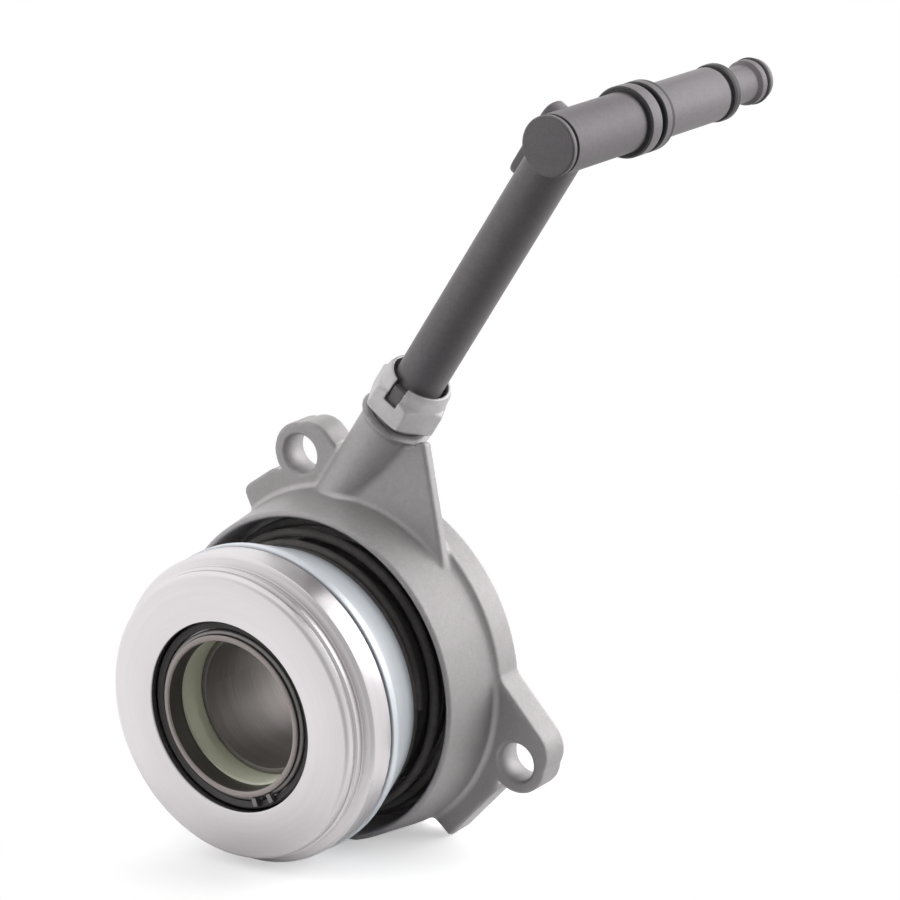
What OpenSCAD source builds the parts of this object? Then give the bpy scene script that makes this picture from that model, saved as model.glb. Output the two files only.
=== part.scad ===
// Concentric slave cylinder: a hydraulic clutch release cylinder that sits round a gearbox input shaft.
// The shaft axis lies along Y, the release bearing faces -Y, and the mounting face is the plane y = 0.
// Places along the shaft are given as a distance forward of the mounting face, called "fwd".

/* [Guide tube] */
// Bore radius of the guide tube, which the input shaft passes through
tube_bore_r = 14.2; // [12.5:0.1:16]
// Wall thickness of the guide tube
tube_wall = 1.3; // [1.1:0.05:1.6]
// Width of the flange at the tube's foot
tube_foot_w = 4; // [3.5:0.1:4.2]
// Thickness of the flange at the tube's foot
tube_foot_t = 1.6; // [1.4:0.1:1.7]
// Distance that the tube's end stays behind the contact face at full return
tube_set_back = 2.3; // [1.5:0.1:4]

/* [Cylinder and piston] */
// Width of the fluid chamber between the guide tube and the cylinder wall
chamber_w = 6.5; // [5.8:0.1:7.2]
// Wall thickness of the hydraulic cylinder
cylinder_wall = 3.2; // [2.6:0.1:3.6]
// Height of the fluid chamber's floor above the mounting face
chamber_floor = 4; // [3.6:0.1:4.4]
// Travel of the piston, from full reach to full return
travel = 8; // [5:0.5:9]
// Height of the seal behind the piston
seal_len = 3; // [2.6:0.1:3.6]
// Thickness of the stiff ring between seal and piston
backing_t = 1; // [0.8:0.1:1.3]
// Length of the piston behind the bearing shell
piston_len = 10.1; // [9:0.1:12]
// Wall thickness of the piston's nose
nose_wall = 1.9; // [1.7:0.1:2.2]
// Length of the guide bush in the nose
bush_len = 16; // [12:0.5:17]

/* [Release bearing] */
// Length of the release ring, from the contact face to its rear edge
ring_len = 11.2; // [10.6:0.1:13]
// Distance of the ball centres behind the contact face
ball_back = 7.8; // [7.6:0.1:8.2]
// Ball diameter
ball_d = 7; // [6.2:0.1:7.6]
// Number of balls
ball_count = 16; // [12:1:16]
// Width of the seal between the nose and the hole in the contact face
face_seal_w = 2.9; // [2.7:0.1:3.4]
// Distance from the hole in the contact face to the ball circle's inner edge
race_w = 1.6; // [1.4:0.1:2]
// Wall of the release ring outside the balls
ring_wall = 4.1; // [3.6:0.1:4.6]
// Drop of the ring's front edge below its outer radius
ring_drop = 2; // [1.6:0.1:2.4]
// Width of the rounded and grooved edge outside the flat contact face
face_edge_w = 4.2; // [3.8:0.1:4.8]
// Length of the plated shell behind the release ring
shell_len = 9.8; // [9:0.1:12]
// Step from the release ring out to the plated shell
shell_step = 0.3; // [0.2:0.05:0.5]
// Sheet thickness of the plated shell
shell_t = 1.4; // [1.2:0.1:1.5]
// Length of the shell's straight band behind the release ring
shell_band = 1.7; // [1.5:0.1:2.2]
// Reach of the shell's skirt behind its inner wall
tail_len = 2.7; // [2.2:0.1:3.2]
// Drop of the shell's radius from its band to the skirt's rear edge
tail_drop = 4.05; // [3.6:0.05:4.2]
// Wire thickness of the snap ring
snap_wire_d = 1.3; // [1:0.05:1.35]

/* [Boot and spring] */
// Wall thickness of the dust boot
boot_t = 0.7; // [0.6:0.05:0.75]
// Distance of the boot's mid wall outside the cylinder
boot_room = 1.1; // [1.05:0.05:1.15]
// Depth of a fold, from its middle to its crest
boot_fold = 0.3; // [0.15:0.05:0.35]
// Wire thickness of the preload spring
spring_wire_d = 2; // [1.7:0.1:2]
// Distance of the spring's smallest half turn inside the skirt's edge
spring_head_inset = 0.65; // [0.5:0.05:0.7]
// Room between the spring's largest half turn and the cup
spring_foot_room = 0.7; // [0.6:0.1:1.2]
// Number of half turns in the preload spring
spring_half_turns = 6; // [5:1:6]

/* [Cup and flange] */
// Depth of the cup, from the mounting face to its rim
cup_depth = 20.6; // [19.5:0.1:22]
// Height of the cup floor above the mounting face
cup_floor = 9; // [8:0.5:10]
// Room between the plated shell and the cup
cup_room = 1.4; // [1.2:0.1:2]
// Wall thickness of the cup at its rim
cup_wall = 1.2; // [1:0.1:1.6]
// Growth of the cup's outer radius from its rim to the flange
cup_taper = 1.9; // [1.4:0.1:2.6]
// Thickness of the flange and its ears
flange_t = 7; // [6:0.5:8]
// Step from the cup out to the flange rim
flange_step = 1.2; // [0.9:0.1:1.6]
// Distance of the bolt circle outside the cup
bolt_room = 7.2; // [6.6:0.1:8]
// Diameter of the bolt holes
bolt_hole_d = 8.4; // [6.6:0.1:9]
// Width of the ear round a bolt hole
ear_w = 2.6; // [2.2:0.1:3.2]
// Angle of the upper ear, seen from the bearing side
ear_upper_angle = 105.9; // [104:0.1:108]
// Angle of the right ear
ear_right_angle = -17.4; // [-20:0.1:-15]
// Angle of the left ear
ear_left_angle = 224.2; // [218:0.1:230]
// Angle that the upper ear's side arm reaches past its hole
upper_arm_angle = 24.5; // [20:0.5:30]
// Angle that the right ear's side arm reaches past its hole
right_arm_angle = 35.3; // [30:0.5:38]

/* [Inlet boss and feed pipe] */
// Direction of the feed pipe, seen from the bearing side
pipe_angle = 57.3; // [56:0.1:59]
// Distance of the pipe's axis inside the cylinder wall
pipe_inset = 1.56; // [1.4:0.02:1.8]
// Place of the pipe's axis forward of the mounting face
pipe_fwd = 4; // [3.8:0.1:4.2]
// Radius of the inlet boss
boss_r = 6.9; // [6.7:0.1:7.5]
// Height of the boss rim along the pipe
boss_top = 52.7; // [51.5:0.1:56]
// Step from the boss out to its rim
boss_rim_w = 1; // [0.8:0.1:1.3]
// Distance across the flats of the hexagonal retainer
hex_flats = 15; // [14.8:0.1:16]
// Height of the hexagon
hex_h = 9.3; // [9:0.1:10.2]
// Open height between the boss rim and the hexagon
hex_lift = 1.4; // [1:0.1:1.8]
// Outer radius of the feed pipe
pipe_r = 5.3; // [5:0.1:5.5]
// Bore radius of the feed pipe
pipe_bore_r = 2.1; // [1.8:0.1:2.3]
// Height of the spigot's axis along the pipe
elbow_h = 127.3; // [110:0.5:145]
// Wall by which the spigot's first cylinder is larger than the pipe
spigot_step = 0.9; // [0.7:0.1:1.2]
// Height of the spigot's two ridges
ridge_h = 1.15; // [0.9:0.05:1.4]
// Step from the spigot's first cylinder down to its second
sleeve_step = 0.45; // [0.3:0.05:0.7]
// Radius of the spigot's neck
neck_r = 3.95; // [3.6:0.05:4.2]
// Radius of the spigot's tip
tip_r = 4.75; // [4.5:0.05:5]
// Reach of the first ridge behind the pipe's axis
ridge_at = 20.4; // [16:0.2:24]
// Reach of the flared ring behind the pipe's axis
flare_at = 55.2; // [48:0.2:58]
// Reach of the spigot's tip behind the pipe's axis
spigot_len = 73.5; // [71:0.5:80]

/* [Clearances] */
// Radial running clearance of the piston on the tube and of the balls in their races
running_gap = 0.05; // [0.03:0.01:0.08]
// Radial clearance of the piston in the cylinder
piston_gap = 0.1; // [0.06:0.01:0.14]
// Clearance between faces that turn or slide past each other
open_gap = 0.3; // [0.3:0.05:0.4]
// Radial clearance of pieces that are pushed together
push_gap = 0.05; // [0.02:0.01:0.08]
// Play left behind the seal when the piston is fully home
home_gap = 0.4; // [0.3:0.1:0.6]

/* [Hidden] */
$fn = 96;

// Radii from the guide tube outwards
tube_r = tube_bore_r + tube_wall;
tube_foot_r = tube_r + tube_foot_w;
tube_seal_d = 1.7;
cylinder_r = tube_r + chamber_w;
nose_r = tube_r + nose_wall;
face_hole_r = nose_r + face_seal_w;
ball_pitch_r = face_hole_r + race_w + ball_d / 2;
ring_r = ball_pitch_r + ball_d / 2 + ring_wall;
ring_front_r = ring_r - ring_drop;
face_flat_r = ring_r - face_edge_w;
shell_r = ring_r + shell_step;
tail_r = shell_r - tail_drop;
boot_mean_r = cylinder_r + cylinder_wall + boot_room;
cup_inner_r = shell_r + cup_room;
spring_head_r = tail_r - spring_head_inset;
spring_foot_r = cup_inner_r - spring_foot_room - spring_wire_d / 2;
cup_rim_r = cup_inner_r + cup_wall;
cup_base_r = cup_rim_r + cup_taper;
flange_r = cup_base_r + flange_step;
bolt_circle_r = cup_base_r + bolt_room;
ear_r = bolt_hole_d / 2 + ear_w;

// Places along the shaft, from the chamber forward
seal_rear_fwd = chamber_floor + travel + home_gap;
piston_rear_fwd = seal_rear_fwd + seal_len + backing_t;
shell_rear_fwd = piston_rear_fwd + piston_len;
shell_front_fwd = shell_rear_fwd + shell_len;
ring_rear_fwd = shell_front_fwd + open_gap;
face_fwd = ring_rear_fwd + ring_len;
ball_fwd = face_fwd - ball_back;
tube_len = face_fwd - travel - tube_set_back;
cylinder_top = shell_rear_fwd - travel - open_gap;

// Piston train
piston_r = cylinder_r - piston_gap;
piston_bore_r = tube_r + 0.4;
nose_lip_r = tube_r + 0.5;
nose_front_fwd = face_fwd - 0.5;
bush_r = tube_r + 1.2;
bush_front_fwd = face_fwd - 4.8;
shoulder_r = cylinder_r - 1;

// Bearing
race_bore_r = nose_r + push_gap;
race_front_fwd = face_fwd - 2.6;
race_rear_fwd = shell_rear_fwd + shell_t + 1.5;
race_neck_r = face_hole_r - 0.4;
race_block_r = ball_pitch_r - 1.4;
groove_r = ball_d / 2 + running_gap;
snap_groove_r = nose_r - 0.6;
snap_mid_r = snap_groove_r + push_gap + snap_wire_d / 2;
snap_fwd = race_front_fwd + push_gap + snap_wire_d / 2;
snap_gap_angle = -64;
snap_gap_deg = 10;
face_plate_t = 3.6;
cage_wall = 2.2;
washer_w = 5.3;
washer_t = 0.7;

// Spring and boot seats
seat_t = 1.2;
tail_fwd = shell_rear_fwd - tail_len;
seat_fwd = tail_fwd - seat_t;
seat_inner_r = cylinder_r + cylinder_wall + 0.4;
spring_foot = cup_floor + push_gap;
spring_rise = (seat_fwd - spring_foot - spring_wire_d - push_gap) / spring_half_turns;
spring_step = (spring_foot_r - spring_head_r) / (spring_half_turns - 1);
boot_bead_h = 1.8;
boot_wave = 3.2;
boot_crest_fwd = seat_fwd - 3.4;

// Inlet, along the pipe
pipe_offset = cylinder_r - pipe_inset;
boss_rim_r = boss_r + boss_rim_w;
hex_gap = 0.4;
skirt_r = 6;
skirt_len = 6;
socket_r = 4.4;
socket_foot = boss_top - 12.7;
drill_r = 1.25;
hex_foot = boss_top + hex_lift;
collar_r = pipe_r + 1.45;
collar_foot = hex_foot + 0.8;
collar_t = 3.8;
retainer_hole_r = pipe_r + 0.9;
key_w = 3;
key_h = 3.4;

// Spigot
spigot_r = pipe_r + spigot_step;
ridge_r = spigot_r + ridge_h;
sleeve_r = spigot_r - sleeve_step;
flare_r = sleeve_r + 0.35;
cap_t = 1.4;
cap_reach = pipe_r + 0.7;
ring_groove_w = 1.6;
tip_ring_at = spigot_len - 3;
tip_ring_d = 1.4;
tip_ring_floor = tip_r - 1.15;
foot_ring_at = socket_foot + 3;
foot_ring_floor = 3.3;
foot_ring_d = 1.06;

// Cup and flange
flange_cove = 1.2;
boss_foot = 18;
web_front = flange_t + 2.6;
web_lean = 11;
web_t = 3;
web_top = boss_top - 1.8;
cut_room = 20;

// Lays a shape so that its own z runs forward along the shaft and its x-y outline is seen from the front
module on_shaft() {
  rotate([90, 0, 0]) children();
}

// Turned shape round the shaft, from an outline of radius and forward place
module turned(outline) {
  on_shaft() rotate_extrude() polygon(outline);
}

// Lays a shape so that its own z runs up the feed pipe; its -x side faces the front
module on_pipe() {
  on_shaft()
    translate([0, 0, pipe_fwd])
      rotate([0, 0, pipe_angle])
        translate([0, pipe_offset, 0])
          rotate([0, 90, 0])
            children();
}

// Lays a shape so that its own z runs back along the spigot
module on_spigot() {
  on_pipe() translate([0, 0, elbow_h]) rotate([0, 90, 0]) children();
}

// Rounded ring with a round section
module o_ring(mid_r, wire_d) {
  rotate_extrude() translate([mid_r, 0]) circle(d = wire_d);
}

// Points on an arc, as radius and forward place
function arc(mid, r, from, to, steps) = [
  for (k = [0 : steps])
    mid + r * [cos(from + (to - from) * k / steps), sin(from + (to - from) * k / steps)]
];

// Point where a line from a far point touches a circle, on the side that turns left (1) or right (-1)
function touch(far, mid, r, side) =
  let (v = far - mid, d = norm(v), t = atan2(v[1], v[0]) + side * acos(r / d))
  mid + r * [cos(t), sin(t)];

function on_circle(r, angle) = r * [cos(angle), sin(angle)];

// Ear outline with its hole on +x: a straight flank on the +y side and a side arm on the -y side
module ear_outline(arm_angle) {
  hole = [bolt_circle_r, 0];
  corner = hole + [0.5, 2.9];
  corner_r = ear_r - 0.6;
  flank_foot = on_circle(flange_r - 0.1, 23.2);
  translate(hole) circle(ear_r);
  translate(corner) circle(corner_r);
  polygon([
    on_circle(cup_base_r - 4, 23.2),
    flank_foot,
    touch(flank_foot, corner, corner_r, -1),
    corner,
    hole,
    hole + on_circle(ear_r, -112),
    on_circle(bolt_circle_r - 1.6, -12),
    on_circle(bolt_circle_r - 1.8, -arm_angle),
    on_circle(cup_base_r - 1, -arm_angle - 2.4),
    on_circle(cup_base_r - 6, -arm_angle + 6)
  ]);
}

// Plain ear outline with its hole on +x and two straight flanks
module plain_ear_outline() {
  hole = [bolt_circle_r, 0];
  foot_a = on_circle(cup_base_r - 0.2, 23);
  foot_b = on_circle(cup_base_r - 0.2, -23);
  translate(hole) circle(ear_r);
  polygon([
    [cup_base_r / 2, 0],
    foot_a,
    touch(foot_a, hole, ear_r, -1),
    hole,
    touch(foot_b, hole, ear_r, 1),
    foot_b
  ]);
}

// Side of the flange that carries the upper and right ears
module flange_side() {
  far = 2 * bolt_circle_r;
  upper = on_circle(far, ear_upper_angle + upper_arm_angle);
  right = on_circle(far, ear_right_angle - right_arm_angle - 1);
  mid = (ear_upper_angle + ear_right_angle) / 2;
  polygon([upper, on_circle(far, mid + 50), on_circle(far, mid), on_circle(far, mid - 50), right]);
}

// Bolt holes through the ears
module bolt_holes() {
  for (angle = [ear_upper_angle, ear_right_angle, ear_left_angle])
    on_shaft()
      translate([bolt_circle_r * cos(angle), bolt_circle_r * sin(angle), -1])
        cylinder(d = bolt_hole_d, h = flange_t + 2);
}

module flange() {
  on_shaft() linear_extrude(flange_t) {
    rotate(ear_right_angle) ear_outline(right_arm_angle);
    rotate(ear_upper_angle) mirror([0, 1]) ear_outline(upper_arm_angle);
    rotate(ear_left_angle) plain_ear_outline();
    intersection() {
      circle(flange_r);
      flange_side();
    }
  }
  intersection() {
    turned(concat(
      [[cup_base_r - 3, flange_t - 1], [cup_base_r + flange_cove, flange_t - 1]],
      arc([cup_base_r + flange_cove, flange_t + flange_cove], flange_cove, 270, 180, 6),
      [[cup_base_r - 3, flange_t + flange_cove]]
    ));
    on_shaft() linear_extrude(flange_t + flange_cove + 1) flange_side();
  }
}

// Inlet boss with its rim
module boss() {
  on_pipe() {
    translate([0, 0, boss_foot]) cylinder(r = boss_r, h = boss_top - boss_foot - 1);
    rotate_extrude()
      polygon([
        [0, boss_top - 2.4],
        [boss_r - 0.01, boss_top - 2.4],
        [boss_rim_r, boss_top - 1],
        [boss_rim_r, boss_top - 0.3],
        [boss_rim_r - 0.3, boss_top],
        [0, boss_top]
      ]);
  }
}

// Place on the front view of a point up the boss axis, or beside it towards the web
function boss_axis(h, side = 0) =
  on_circle(h, pipe_angle) + on_circle(pipe_offset - side, pipe_angle + 90);

// Flat web that braces the boss against the cup and leans back towards the boss rim
module boss_web() {
  foot = on_circle(cup_base_r - 0.6, pipe_angle + 4.3);
  along = [0.853, -0.522, 0];
  on_shaft()
    translate([foot[0], foot[1], web_front])
      rotate(a = -web_lean, v = along)
        translate([-foot[0], -foot[1], -web_t])
          linear_extrude(web_t)
            polygon([
              on_circle(cup_base_r - 4.6, pipe_angle - 15.8),
              on_circle(cup_base_r + 0.1, pipe_angle - 11.9),
              boss_axis(web_top + 2.9, boss_r + 2.3),
              boss_axis(web_top),
              boss_axis(boss_foot + 2)
            ]);
}

// Cavities turned into the casting
module housing_cavities() {
  turned([
    [cylinder_r + cylinder_wall, cup_floor],
    [cup_inner_r, cup_floor],
    [cup_inner_r, cup_depth - 0.4],
    [cup_inner_r + 0.4, cup_depth + 0.01],
    [cup_inner_r, cup_depth + cut_room],
    [0, cup_depth + cut_room],
    [0, cylinder_top],
    [cylinder_r + cylinder_wall - 0.4, cylinder_top]
  ]);
  turned([
    [0, chamber_floor],
    [cylinder_r, chamber_floor],
    [cylinder_r, cylinder_top - 0.8],
    [cylinder_r + 0.6, cylinder_top + 0.01],
    [0, cylinder_top + 0.01]
  ]);
  turned([
    [0, -1],
    [tube_foot_r + push_gap, -1],
    [tube_foot_r + push_gap, tube_foot_t],
    [tube_r + tube_seal_d + 0.1, tube_foot_t],
    [tube_r + tube_seal_d + 0.1, tube_foot_t + tube_seal_d],
    [tube_r + push_gap, tube_foot_t + tube_seal_d],
    [tube_r + push_gap, chamber_floor + 1],
    [0, chamber_floor + 1]
  ]);
  on_pipe() {
    translate([0, 0, 3]) cylinder(r = drill_r, h = socket_foot);
    translate([0, 0, socket_foot - 1]) cylinder(r = socket_r, h = boss_top);
    translate([0, 0, boss_top - skirt_len]) cylinder(r = skirt_r + push_gap, h = skirt_len + 1);
  }
}

// Cast housing: cup, hydraulic cylinder, flange with ears, inlet boss and web
module housing() {
  color("darkgray")
    difference() {
      union() {
        turned([
          [0, 0],
          [cup_base_r, 0],
          [cup_base_r, flange_t],
          [cup_rim_r + 0.1, cup_depth - 0.6],
          [cup_rim_r - 0.4, cup_depth],
          [0, cup_depth]
        ]);
        flange();
        boss();
        boss_web();
      }
      housing_cavities();
      bolt_holes();
      on_shaft() translate([0, 0, -cut_room]) cylinder(r = flange_r + 0.4, h = cut_room);
    }
}

// Steel tube that the piston slides on, with its foot flush in the mounting face
module guide_tube() {
  color("dimgray")
    turned([
      [tube_bore_r, 0],
      [tube_foot_r, 0],
      [tube_foot_r, tube_foot_t],
      [tube_r, tube_foot_t],
      [tube_r, tube_len - 0.6],
      [tube_r - 0.4, tube_len],
      [tube_bore_r + 0.4, tube_len],
      [tube_bore_r, tube_len - 0.5]
    ]);
}

// Seal between the tube's foot and the casting
module tube_oring() {
  color("black")
    on_shaft()
      translate([0, 0, tube_foot_t + tube_seal_d / 2])
        o_ring(tube_r + tube_seal_d / 2 + push_gap, tube_seal_d - 0.06);
}

// Moulded piston with a long nose that carries the bearing
module piston() {
  color([0.14, 0.13, 0.13])
    turned([
      [piston_bore_r, piston_rear_fwd],
      [piston_r, piston_rear_fwd],
      [piston_r, piston_rear_fwd + 5.6],
      [shoulder_r, piston_rear_fwd + 7],
      [shoulder_r, shell_rear_fwd],
      [nose_r, shell_rear_fwd],
      [nose_r, snap_fwd - snap_wire_d / 2 - push_gap],
      [snap_groove_r, snap_fwd - snap_wire_d / 2 - push_gap],
      [snap_groove_r, snap_fwd + snap_wire_d / 2 + push_gap],
      [nose_r, snap_fwd + snap_wire_d / 2 + push_gap],
      [nose_r - 0.3, nose_front_fwd],
      [nose_lip_r + 0.3, nose_front_fwd],
      [nose_lip_r, nose_front_fwd - 0.5],
      [nose_lip_r, bush_front_fwd],
      [bush_r + push_gap, bush_front_fwd],
      [bush_r + push_gap, bush_front_fwd - bush_len],
      [piston_bore_r, bush_front_fwd - bush_len]
    ]);
}

// Pale low-friction bush in the piston's nose
module guide_bush() {
  color([0.72, 0.74, 0.62])
    turned([
      [tube_r + running_gap, bush_front_fwd - bush_len],
      [bush_r, bush_front_fwd - bush_len],
      [bush_r, bush_front_fwd],
      [tube_r + running_gap + 0.4, bush_front_fwd],
      [tube_r + running_gap, bush_front_fwd - 0.6]
    ]);
}

// Double lip seal behind the piston
module piston_seal() {
  lip = 0.9;
  color("black")
    turned([
      [tube_r + running_gap, seal_rear_fwd],
      [tube_r + lip, seal_rear_fwd],
      [tube_r + lip + 0.5, seal_rear_fwd + 1.4],
      [cylinder_r - lip - 0.5, seal_rear_fwd + 1.4],
      [cylinder_r - lip, seal_rear_fwd],
      [cylinder_r - running_gap, seal_rear_fwd],
      [cylinder_r - running_gap - 0.1, seal_rear_fwd + seal_len],
      [tube_r + running_gap + 0.1, seal_rear_fwd + seal_len]
    ]);
}

// Stiff ring that keeps the seal from creeping past the piston
module seal_backing_ring() {
  color("ivory")
    turned([
      [tube_r + 2 * running_gap, seal_rear_fwd + seal_len],
      [piston_r, seal_rear_fwd + seal_len],
      [piston_r, piston_rear_fwd],
      [tube_r + 2 * running_gap, piston_rear_fwd]
    ]);
}

// Radius of the boot's mid wall at a forward place
function boot_mid(fwd) = boot_mean_r + boot_fold * cos(360 * (fwd - boot_crest_fwd) / boot_wave);

// Folded rubber boot between the cup floor and the spring seat
module dust_boot() {
  foot = cup_floor + boot_bead_h - 0.2;
  head = seat_fwd - boot_bead_h + 0.2;
  steps = 26;
  places = [for (k = [0 : steps]) foot + (head - foot) * k / steps];
  color([0.12, 0.11, 0.11]) {
    turned(concat(
      [for (fwd = places) [boot_mid(fwd) + boot_t / 2, fwd]],
      [for (k = [0 : steps]) [boot_mid(places[steps - k]) - boot_t / 2, places[steps - k]]]
    ));
    turned([
      [boot_mean_r - 0.8, cup_floor],
      [boot_mean_r + 1.2, cup_floor],
      [boot_mean_r + 1.2, cup_floor + boot_bead_h - 0.4],
      [boot_mean_r + 0.8, cup_floor + boot_bead_h],
      [boot_mean_r - 0.8, cup_floor + boot_bead_h]
    ]);
    turned([
      [boot_mean_r - 0.65, seat_fwd - boot_bead_h],
      [boot_mean_r + 0.4, seat_fwd - boot_bead_h],
      [boot_mean_r + 0.6, seat_fwd - 0.8],
      [boot_mean_r + 0.4, seat_fwd],
      [boot_mean_r - 0.65, seat_fwd]
    ]);
  }
}

// Radius of a half turn of the preload spring, counted from the cup floor
function half_turn_r(k) = spring_foot_r - spring_step * k;

// Place of a half turn's middle, which shifts so that each half turn meets the next
function half_turn_mid(k) = (k % 2 == 0 ? 1 : -1) * spring_step / 2;

// Coned coil spring that holds the bearing against the clutch
module preload_spring() {
  color("slategray")
    on_shaft()
      for (k = [0 : spring_half_turns - 1]) {
        tilt = asin(spring_rise / 2 / half_turn_r(k));
        end_fwd = spring_foot + spring_wire_d / 2 + spring_rise * k;
        way = k % 2 == 0 ? 1 : -1;
        translate([half_turn_mid(k), 0, end_fwd + spring_rise / 2])
          rotate([0, way * tilt, 0])
            rotate([0, 0, k % 2 == 0 ? 0 : 180])
              rotate_extrude(angle = 180)
                translate([half_turn_r(k), 0])
                  circle(d = spring_wire_d, $fn = 32);
        translate([half_turn_mid(k) + way * half_turn_r(k) * cos(tilt), 0, end_fwd])
          sphere(d = spring_wire_d + 0.06, $fn = 32);
        if (k == spring_half_turns - 1)
          translate([half_turn_mid(k) - way * half_turn_r(k) * cos(tilt), 0, end_fwd + spring_rise])
            sphere(d = spring_wire_d + 0.06, $fn = 32);
      }
}

// Pressed ring behind the skirt that the spring and the boot bear on
module spring_seat() {
  color("lightslategray")
    turned([
      [seat_inner_r, seat_fwd],
      [tail_r - 0.05, seat_fwd],
      [tail_r - 0.05, tail_fwd],
      [seat_inner_r, tail_fwd]
    ]);
}

// Outer radius of the shell's skirt at a forward place
function tail_at(fwd) =
  tail_r + tail_drop * (fwd - tail_fwd) / (shell_front_fwd - shell_band - tail_fwd);

// Plated shell round the rear of the bearing, with a skirt that narrows towards the cup
module bearing_shell() {
  front = shell_front_fwd;
  band = front - shell_band;
  disc = shell_rear_fwd + shell_t;
  color("lightsteelblue")
    turned([
      [nose_r + push_gap, shell_rear_fwd],
      [tail_at(shell_rear_fwd) - shell_t, shell_rear_fwd],
      [tail_r - shell_t, tail_fwd],
      [tail_r - 0.3, tail_fwd],
      [tail_r, tail_fwd + 0.3],
      [shell_r, band],
      [shell_r, front - 0.3],
      [shell_r - 0.3, front],
      [shell_r - shell_t, front],
      [shell_r - shell_t, band],
      [tail_at(disc) - shell_t, disc],
      [nose_r + push_gap, disc]
    ]);
}

// Dished spring washer that lets the bearing find its own centre
module centring_washer() {
  foot = shell_rear_fwd + shell_t;
  color("silver")
    turned([
      [nose_r + washer_t, race_rear_fwd - washer_t],
      [nose_r + washer_t + washer_w, foot],
      [nose_r + washer_t + washer_w, foot + washer_t],
      [nose_r + washer_t, race_rear_fwd]
    ]);
}

// Inner race, which does not turn
module inner_race() {
  color("gray")
    difference() {
      turned([
        [race_bore_r, race_rear_fwd],
        [race_block_r - 0.4, race_rear_fwd],
        [race_block_r, race_rear_fwd + 0.4],
        [race_block_r, ball_fwd],
        [race_neck_r, ball_fwd],
        [race_neck_r, race_front_fwd],
        [race_bore_r, race_front_fwd]
      ]);
      on_shaft() translate([0, 0, ball_fwd]) o_ring(ball_pitch_r, 2 * groove_r);
    }
}

// Release ring with the contact face that turns with the clutch
module release_ring() {
  step_fwd = face_fwd - 5;
  color([0.92, 0.89, 0.9])
    difference() {
      turned(concat(
        [
          [face_hole_r, face_fwd - face_plate_t],
          [face_hole_r, face_fwd - 0.3],
          [face_hole_r + 0.3, face_fwd],
          [face_flat_r, face_fwd]
        ],
        arc([face_flat_r + 0.2, face_fwd - 1.4], 1.4, 90, 20, 5),
        [
          [ring_front_r - 0.5, face_fwd - 1.6],
          [ring_front_r - 0.5, face_fwd - 2.2],
          [ring_front_r, face_fwd - 2.5],
          [ring_front_r, face_fwd - 3.7],
          [ring_front_r - 0.4, face_fwd - 4],
          [ring_front_r - 0.3, face_fwd - 4.6]
        ],
        arc([ring_r - 0.9, step_fwd - 0.9], 0.9, 90, 0, 4),
        [
          [ring_r, ring_rear_fwd + 0.4],
          [ring_r - 0.4, ring_rear_fwd],
          [ball_pitch_r + ball_d / 2 + 1, ring_rear_fwd],
          [ball_pitch_r + ball_d / 2 + 1, ball_fwd + 0.4],
          [ball_pitch_r, ball_fwd + 0.4],
          [ball_pitch_r, face_fwd - face_plate_t]
        ]
      ));
      on_shaft() translate([0, 0, ball_fwd]) o_ring(ball_pitch_r, 2 * groove_r);
    }
}

// Places the balls, or anything that follows them, round the bearing
module at_balls() {
  on_shaft()
    for (k = [0 : ball_count - 1])
      rotate([0, 0, 360 * k / ball_count])
        translate([ball_pitch_r, 0, ball_fwd])
          children();
}

module bearing_balls() {
  color("silver") at_balls() sphere(d = ball_d);
}

// Crown cage behind the balls
module ball_cage() {
  rear = ball_fwd - ball_d / 2 - 1.7;
  front = ball_fwd + 1;
  color("burlywood")
    difference() {
      turned([
        [ball_pitch_r - cage_wall / 2, rear],
        [ball_pitch_r + cage_wall / 2, rear],
        [ball_pitch_r + cage_wall / 2, front],
        [ball_pitch_r - cage_wall / 2, front]
      ]);
      at_balls() sphere(d = ball_d + 2 * running_gap);
    }
}

// Black seal in the hole of the contact face
module front_seal() {
  inner = snap_mid_r + snap_wire_d / 2 + 0.25;
  outer = face_hole_r - open_gap;
  color("black")
    turned([
      [inner, race_front_fwd],
      [race_neck_r, race_front_fwd],
      [outer, race_front_fwd + 0.3],
      [outer, race_front_fwd + 0.9],
      [outer - 0.5, race_front_fwd + 1.3],
      [outer - 0.9, race_front_fwd + 1],
      [inner, race_front_fwd + 0.8]
    ]);
}

// Seal inside the shell, close behind the release ring
module rear_seal() {
  front = shell_front_fwd;
  outer = shell_r - shell_t - push_gap;
  color("black")
    turned([
      [outer - 2.6, front - shell_band],
      [outer, front - shell_band],
      [outer, front - 0.3],
      [outer - 1.4, front],
      [outer - 2.6, front - 1]
    ]);
}

// Wire ring, open at one place, that keeps the bearing on the piston's nose
module snap_ring() {
  color("gainsboro")
    on_shaft()
      translate([0, 0, snap_fwd])
        rotate([0, 0, snap_gap_angle + snap_gap_deg / 2])
          rotate_extrude(angle = 360 - snap_gap_deg)
            translate([snap_mid_r, 0])
              circle(d = snap_wire_d, $fn = 32);
}

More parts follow.
